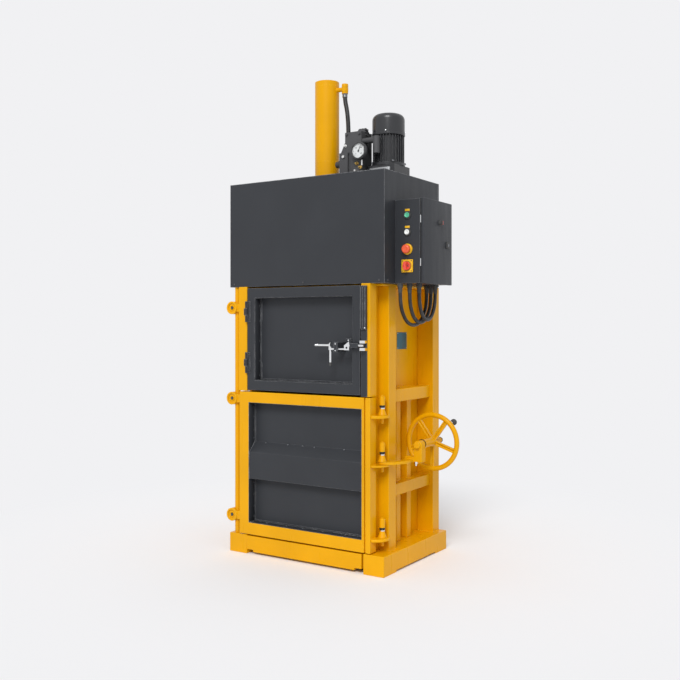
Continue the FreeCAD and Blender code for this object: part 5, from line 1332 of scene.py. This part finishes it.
class BALER_OT_controls(Operator):
    """Buttons, emergency stop and main switch, with their plain labels"""

    bl_idname = "baler.controls"
    bl_label = "Controls"

    def execute(self, context):
        face = span("control_box")[0].y
        self.button("green", "button_green", green_plastic(), "green_plastic", face)
        self.button("white", "button_white", white_plastic(), "white_plastic", face)
        self.stop(face)
        self.switch(face)
        return {"FINISHED"}

    def button(self, word, node, material, slot, face):
        """A collar with its label tab, and a dished cap in it."""
        centre = middle(node)
        place = Vector((centre.x, face, centre.z))
        collar = Shape()
        collar.turned([(0.0150, 0.0005), (0.0208, 0.0), (0.0212, 0.002), (0.0200, 0.0065), (0.0188, 0.0080),
                       (0.0155, 0.0080), (0.0146, 0.0068), (0.0146, 0.001)], place, FRONT, 48)
        obj = collar.make(word + "_collar", black_plastic(), "frame", "black_plastic")
        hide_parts("control_bezels")
        holder = Shape()
        holder.block(place + Vector((-0.0175, -0.0035, 0.014)), place + Vector((0.0175, 0.0, 0.036)),
                     0.0025, 3)
        holder.make(word + "_label_holder", black_plastic(), "frame", "black_plastic")
        label = Shape()
        label.block(place + Vector((-0.0140, -0.0045, 0.0215)), place + Vector((0.0140, -0.003, 0.0325)),
                    0.0005)
        label.make(word + "_label", label_plastic(), "frame", "black_plastic")
        low, high = span(node)
        deep = high.y - low.y
        cap = Shape()
        cap.turned([(0, 0), (0.0136, 0), (0.0140, 0.0010), (0.0140, deep - 0.0018), (0.0128, deep - 0.0003),
                    (0.0108, deep), (0.0094, deep - 0.0010), (0.0050, deep - 0.0018), (0.0044, deep - 0.0032),
                    (0, deep - 0.0034)], Vector((centre.x, high.y, centre.z)), FRONT, 44)
        obj = cap.make(word + "_cap", material, BODY_OF[node], slot)
        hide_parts(node)

    def stop(self, face):
        """The mushroom head on its stem, over the yellow collar."""
        low, high = span("emergency_stop")
        centre = middle("emergency_stop")
        collar = Shape()
        collar.turned([(0.0135, 0.0005), (0.0298, 0.0), (0.0300, 0.0025), (0.0285, 0.0068), (0.0262, 0.0080),
                       (0.0140, 0.0080), (0.0134, 0.0070)], Vector((centre.x, face, centre.z)), FRONT, 56)
        collar.make("stop_collar", label_plastic(), "frame", "black_plastic")
        deep = high.y - low.y
        head = deep - 0.018
        mushroom = Shape()
        mushroom.turned([(0, 0), (0.0125, 0), (0.0125, head), (0.0205, head), (0.0232, head + 0.0015),
                         (0.0240, head + 0.005), (0.0240, head + 0.0105), (0.0226, deep - 0.0035),
                         (0.0195, deep - 0.0010), (0.0150, deep), (0.0120, deep - 0.0008),
                         (0.0070, deep - 0.0018),
                         (0, deep - 0.0022)], Vector((centre.x, high.y, centre.z)), FRONT, 56)
        obj = mushroom.make("stop_head", stop_head_plastic(), "emergency_stop", "red_plastic")
        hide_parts("emergency_stop")

    def switch(self, face):
        """A red disc with its grip bar, on a yellow plate in a black tray."""
        low, high = span("main_switch")
        centre = middle("main_switch")
        plate = Shape()
        half = 0.034
        plate.block((centre.x - half, face - 0.008, centre.z - half),
                    (centre.x + half, face, centre.z + half), 0.0025, 3)
        plate.make("switch_plate", label_plastic(), "frame", "black_plastic")
        marks = Shape()
        marks.turned([(0.0240, 0.0078), (0.0245, 0.0086), (0.0262, 0.0086), (0.0266, 0.0078)],
                     (centre.x, face, centre.z), FRONT, 48)
        for x in (-0.027, 0.027):
            for z in (-0.027, 0.027):
                marks.dome_head((centre.x + x, face - 0.0078, centre.z + z), FRONT, 0.006)
        marks.make("switch_plate_marks", black_plastic(), "frame", "black_plastic")
        back = Vector((centre.x, high.y, centre.z))
        disc = Shape()
        disc.turned([(0, 0), (0.0222, 0), (0.0230, 0.0012), (0.0230, 0.0085), (0.0218, 0.0100),
                     (0.0178, 0.0100),
                     (0.0172, 0.0078), (0, 0.0076)], back, FRONT, 48)
        deep = high.y - low.y
        half = 0.0080
        tip = 0.0215
        waist = half * 0.72
        disc.plate([(-half, -tip), (half, -tip), (half, -tip * 0.35), (waist, 0), (half, tip * 0.35),
                    (half, tip),
                    (-half, tip), (-half, tip * 0.35), (-waist, 0), (-half, -tip * 0.35)],
                   back + FRONT * 0.0070, RIGHT, UP, deep - 0.0070, 0.0018, 2)
        obj = disc.make("switch_knob", red_plastic(), "main_switch", "red_plastic")
        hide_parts("main_switch")
        wells = Shape()
        for side in (-1, 1):
            wells.turned([(0.0010, 0.0077), (0.0062, 0.0079), (0.0066, 0.0077)],
                         back + Vector((side * 0.0128, 0, 0)), FRONT, 24)
        wells.make("switch_wells", black_plastic(), "main_switch", "black_plastic")


class BALER_OT_cables(Operator):
    """Hanging cables with their glands, and the hydraulic hose"""

    bl_idname = "baler.cables"
    bl_label = "Cables"

    def execute(self, context):
        for node, loop in CABLE_LOOPS.items():
            self.cable(node, *loop)
        self.glands()
        self.hose()
        return {"FINISHED"}

    def spline(self, name, points, dia, node):
        """A round cord whose line is one smooth open spline."""
        curve = bpy.data.curves.new(name, "CURVE")
        curve.dimensions = "3D"
        curve.bevel_depth = dia / 2
        curve.bevel_resolution = 5
        curve.resolution_u = 16
        curve.use_fill_caps = True
        line = curve.splines.new("NURBS")
        line.points.add(len(points) - 1)
        for knot, point in zip(line.points, points):
            knot.co = (*point, 1)
        line.order_u = 3
        line.use_endpoint_u = True
        obj = new_object(name, curve, cable_rubber(), "frame")
        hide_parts(node)
        return obj

    def cable(self, node, x, front, back, drop, length):
        high = GLAND_MOUTH
        low = high - drop
        reach = back - front
        points = [
            (x, front, high),
            (x, front, high - 0.30 * drop),
            (x, front + 0.06 * reach, high - 0.62 * drop),
            (x, front + 0.24 * reach, low + 0.09 * drop),
            (x, front + 0.50 * reach, low),
            (x, front + 0.75 * reach, low + 0.10 * drop),
            (x, front + 0.94 * reach, high - 0.60 * drop),
            (x, back, high - 0.30 * drop),
            (x, back, high),
        ]
        obj = self.spline(node + "_sheath", points, sizes().cable, node)

    def glands(self):
        """Each gland: a nut under the box, a domed cap and a tapered relief round its cable."""
        top = span("cable_glands")[1].z
        shape = Shape()
        for x, front, back, *_ in CABLE_LOOPS.values():
            for y in (front, back):
                shape.turned([(0.0172, 0), (0.0172, 0.0065), (0.0160, 0.0075)], (x, y, top), -UP, 6)
                shape.turned([(0.0148, 0.006), (0.0152, 0.016), (0.0138, 0.021), (0.0122, 0.024),
                              (0.0118, 0.034),
                              (0.0109, 0.046), (0.0101, 0.050)], (x, y, top), -UP, 32)
        obj = shape.make("gland_bodies", black_plastic(), "frame", "black_plastic")
        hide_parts("cable_glands")

    def hose(self):
        foot = Vector(HOSE_FOOT)
        top = Vector(HOSE_TOP)
        points = [foot, (0.128, -0.092, 2.4656), (0.120, -0.092, 2.5574), (0.104, -0.092, 2.6222), top]
        self.spline("pressure_hose_line", points, sizes().hose, "pressure_hose")
        ferrules = Shape()
        profile = [(0.0130, 0.0), (0.0150, 0.0), (0.0152, 0.004), (0.0140, 0.007), (0.0152, 0.010),
                   (0.0140, 0.013),
                   (0.0152, 0.016), (0.0150, 0.020), (0.0128, 0.022)]
        ferrules.turned(profile, foot, UP, 36)
        ferrules.turned(profile, top, -UP, 36)
        ferrules.make("hose_ferrules", rivet_steel(), "frame", "bright_steel")
        port = Shape()
        port.turned([(0.0160, 0), (0.0160, 0.010), (0.0205, 0.011), (0.0205, 0.030), (0.0160, 0.031)], top,
                    UP, 6, 0.2)
        port.turned([(0.0182, 0.034), (0.0188, 0.036), (0.0188, 0.050), (0.0170, 0.0562), (0, 0.0565)],
                    top, UP, 36)
        port.make("hose_port_nut", yellow_enamel(), "frame", "yellow_paint")
        collar = Shape()
        for rise in (0.120, 0.560):
            collar.turned([(0.0704, -0.0006), (0.0709, 0.0), (0.0709, 0.004), (0.0704, 0.0046)],
                          (*CYLINDER_AXIS, HOOD_TOP + rise), UP, 72)
        collar.make("cylinder_lines", yellow_enamel(), "frame", "yellow_paint")


def far_light(name, aim, strength, spread):
    """A wide, distant light that shines along a direction."""
    data = bpy.data.lights.new(name, "SUN")
    data.energy = strength
    data.angle = spread
    obj = bpy.data.objects.new(name, data)
    bpy.context.scene.collection.objects.link(obj)
    obj.rotation_euler = Vector(aim).to_track_quat("-Z", "Y").to_euler()
    return obj


class BALER_OT_stage(Operator):
    """Pale ground, soft lights and camera"""

    bl_idname = "baler.stage"
    bl_label = "Stage"

    def execute(self, context):
        self.camera()
        self.ground()
        self.sky()
        far_light("key_light", (-0.27, 0.71, -0.62), stage().key, stage().key_spread)
        context.scene.view_settings.view_transform = "Standard"
        return {"FINISHED"}

    def camera(self):
        data = bpy.data.cameras.new("camera")
        data.sensor_fit = "HORIZONTAL"
        data.sensor_width = 36
        width = stage().picture_pixels
        data.lens = stage().focal_pixels / width * data.sensor_width
        data.shift_y = (stage().horizon_row - width / 2) / width
        obj = bpy.data.objects.new("camera", data)
        obj.location = stage().camera_place
        obj.rotation_euler = (math.pi / 2, 0, stage().camera_turn)
        bpy.context.scene.collection.objects.link(obj)
        bpy.context.scene.camera = obj

    def ground(self):
        mesh = bpy.data.meshes.new("ground")
        half = 30.0
        corners = [(-half, -half, 0), (half, -half, 0), (half, half, 0), (-half, half, 0)]
        mesh.from_pydata(corners, [], [(0, 1, 2, 3)])
        obj = bpy.data.objects.new("ground", mesh)
        bpy.context.scene.collection.objects.link(obj)
        material, tree, shader = new_material("ground_paper")
        shader.inputs["Base Color"].default_value = (*tone(249, 249, 251), 1)
        shader.inputs["Roughness"].default_value = 0.9
        shader.inputs["Specular IOR Level"].default_value = 0.1
        glow = add_node(tree, "ShaderNodeEmission", Color=colours().ground, Strength=1.0)
        place = tree.nodes.new("ShaderNodeNewGeometry").outputs["Position"]
        reach = tree.nodes.new("ShaderNodeVectorMath")
        reach.operation = "LENGTH"
        join(tree, place, reach.inputs[0])
        far = remap(tree, reach.outputs["Value"], 1.0, 2.6)
        path = tree.nodes.new("ShaderNodeLightPath")
        seen = math_node(tree, "MULTIPLY", far, path.outputs["Is Camera Ray"], True)
        mixed = tree.nodes.new("ShaderNodeMixShader")
        join(tree, seen, mixed.inputs[0])
        join(tree, shader.outputs[0], mixed.inputs[1])
        join(tree, glow.outputs[0], mixed.inputs[2])
        join(tree, mixed.outputs[0], tree.nodes["Material Output"].inputs["Surface"])
        mesh.materials.append(material)

    def sky(self):
        world = bpy.data.worlds.new("sky")
        bpy.context.scene.world = world
        world.use_nodes = True
        tree = world.node_tree
        light = tree.nodes["Background"]
        light.inputs["Color"].default_value = (1, 1, 1, 1)
        light.inputs["Strength"].default_value = stage().sky
        seen = add_node(tree, "ShaderNodeBackground", Color=(*colours().ground, 1), Strength=1.0)
        path = tree.nodes.new("ShaderNodeLightPath")
        shown = math_node(tree, "MAXIMUM", path.outputs["Is Camera Ray"], path.outputs["Is Glossy Ray"])
        shown = math_node(tree, "MAXIMUM", shown, path.outputs["Is Transmission Ray"])
        mixed = tree.nodes.new("ShaderNodeMixShader")
        join(tree, shown, mixed.inputs[0])
        join(tree, light.outputs[0], mixed.inputs[1])
        join(tree, seen.outputs[0], mixed.inputs[2])
        join(tree, mixed.outputs[0], tree.nodes["World Output"].inputs["Surface"])


MAKERS = (
    BALER_OT_stage,
    BALER_OT_cables,
    BALER_OT_steelwork,
    BALER_OT_welds,
    BALER_OT_sheetwork,
    BALER_OT_trays,
    BALER_OT_hinges,
    BALER_OT_lock,
    BALER_OT_latch,
    BALER_OT_drive,
    BALER_OT_gauge,
    BALER_OT_control_box,
    BALER_OT_controls,
)


class BALER_PT_looks(Panel):
    """Lists the makers of the baler's looks"""

    bl_label = "Baler"
    bl_idname = "BALER_PT_looks"
    bl_space_type = "VIEW_3D"
    bl_region_type = "UI"
    bl_category = "Baler"

    def draw(self, context):
        for maker in MAKERS:
            self.layout.operator(maker.bl_idname)


CLASSES = (BalerColours, BalerSizes, BalerStage, *MAKERS, BALER_PT_looks)


def register():
    for kind in CLASSES:
        bpy.utils.register_class(kind)
    bpy.types.Scene.baler_colours = PointerProperty(type=BalerColours)
    bpy.types.Scene.baler_sizes = PointerProperty(type=BalerSizes)
    bpy.types.Scene.baler_stage = PointerProperty(type=BalerStage)


def unregister():
    del bpy.types.Scene.baler_stage
    del bpy.types.Scene.baler_sizes
    del bpy.types.Scene.baler_colours
    for kind in reversed(CLASSES):
        bpy.utils.unregister_class(kind)


def main():
    register()
    for maker in MAKERS:
        area, name = maker.bl_idname.split(".")
        getattr(getattr(bpy.ops, area), name)()


if __name__ == "__main__":
    main()
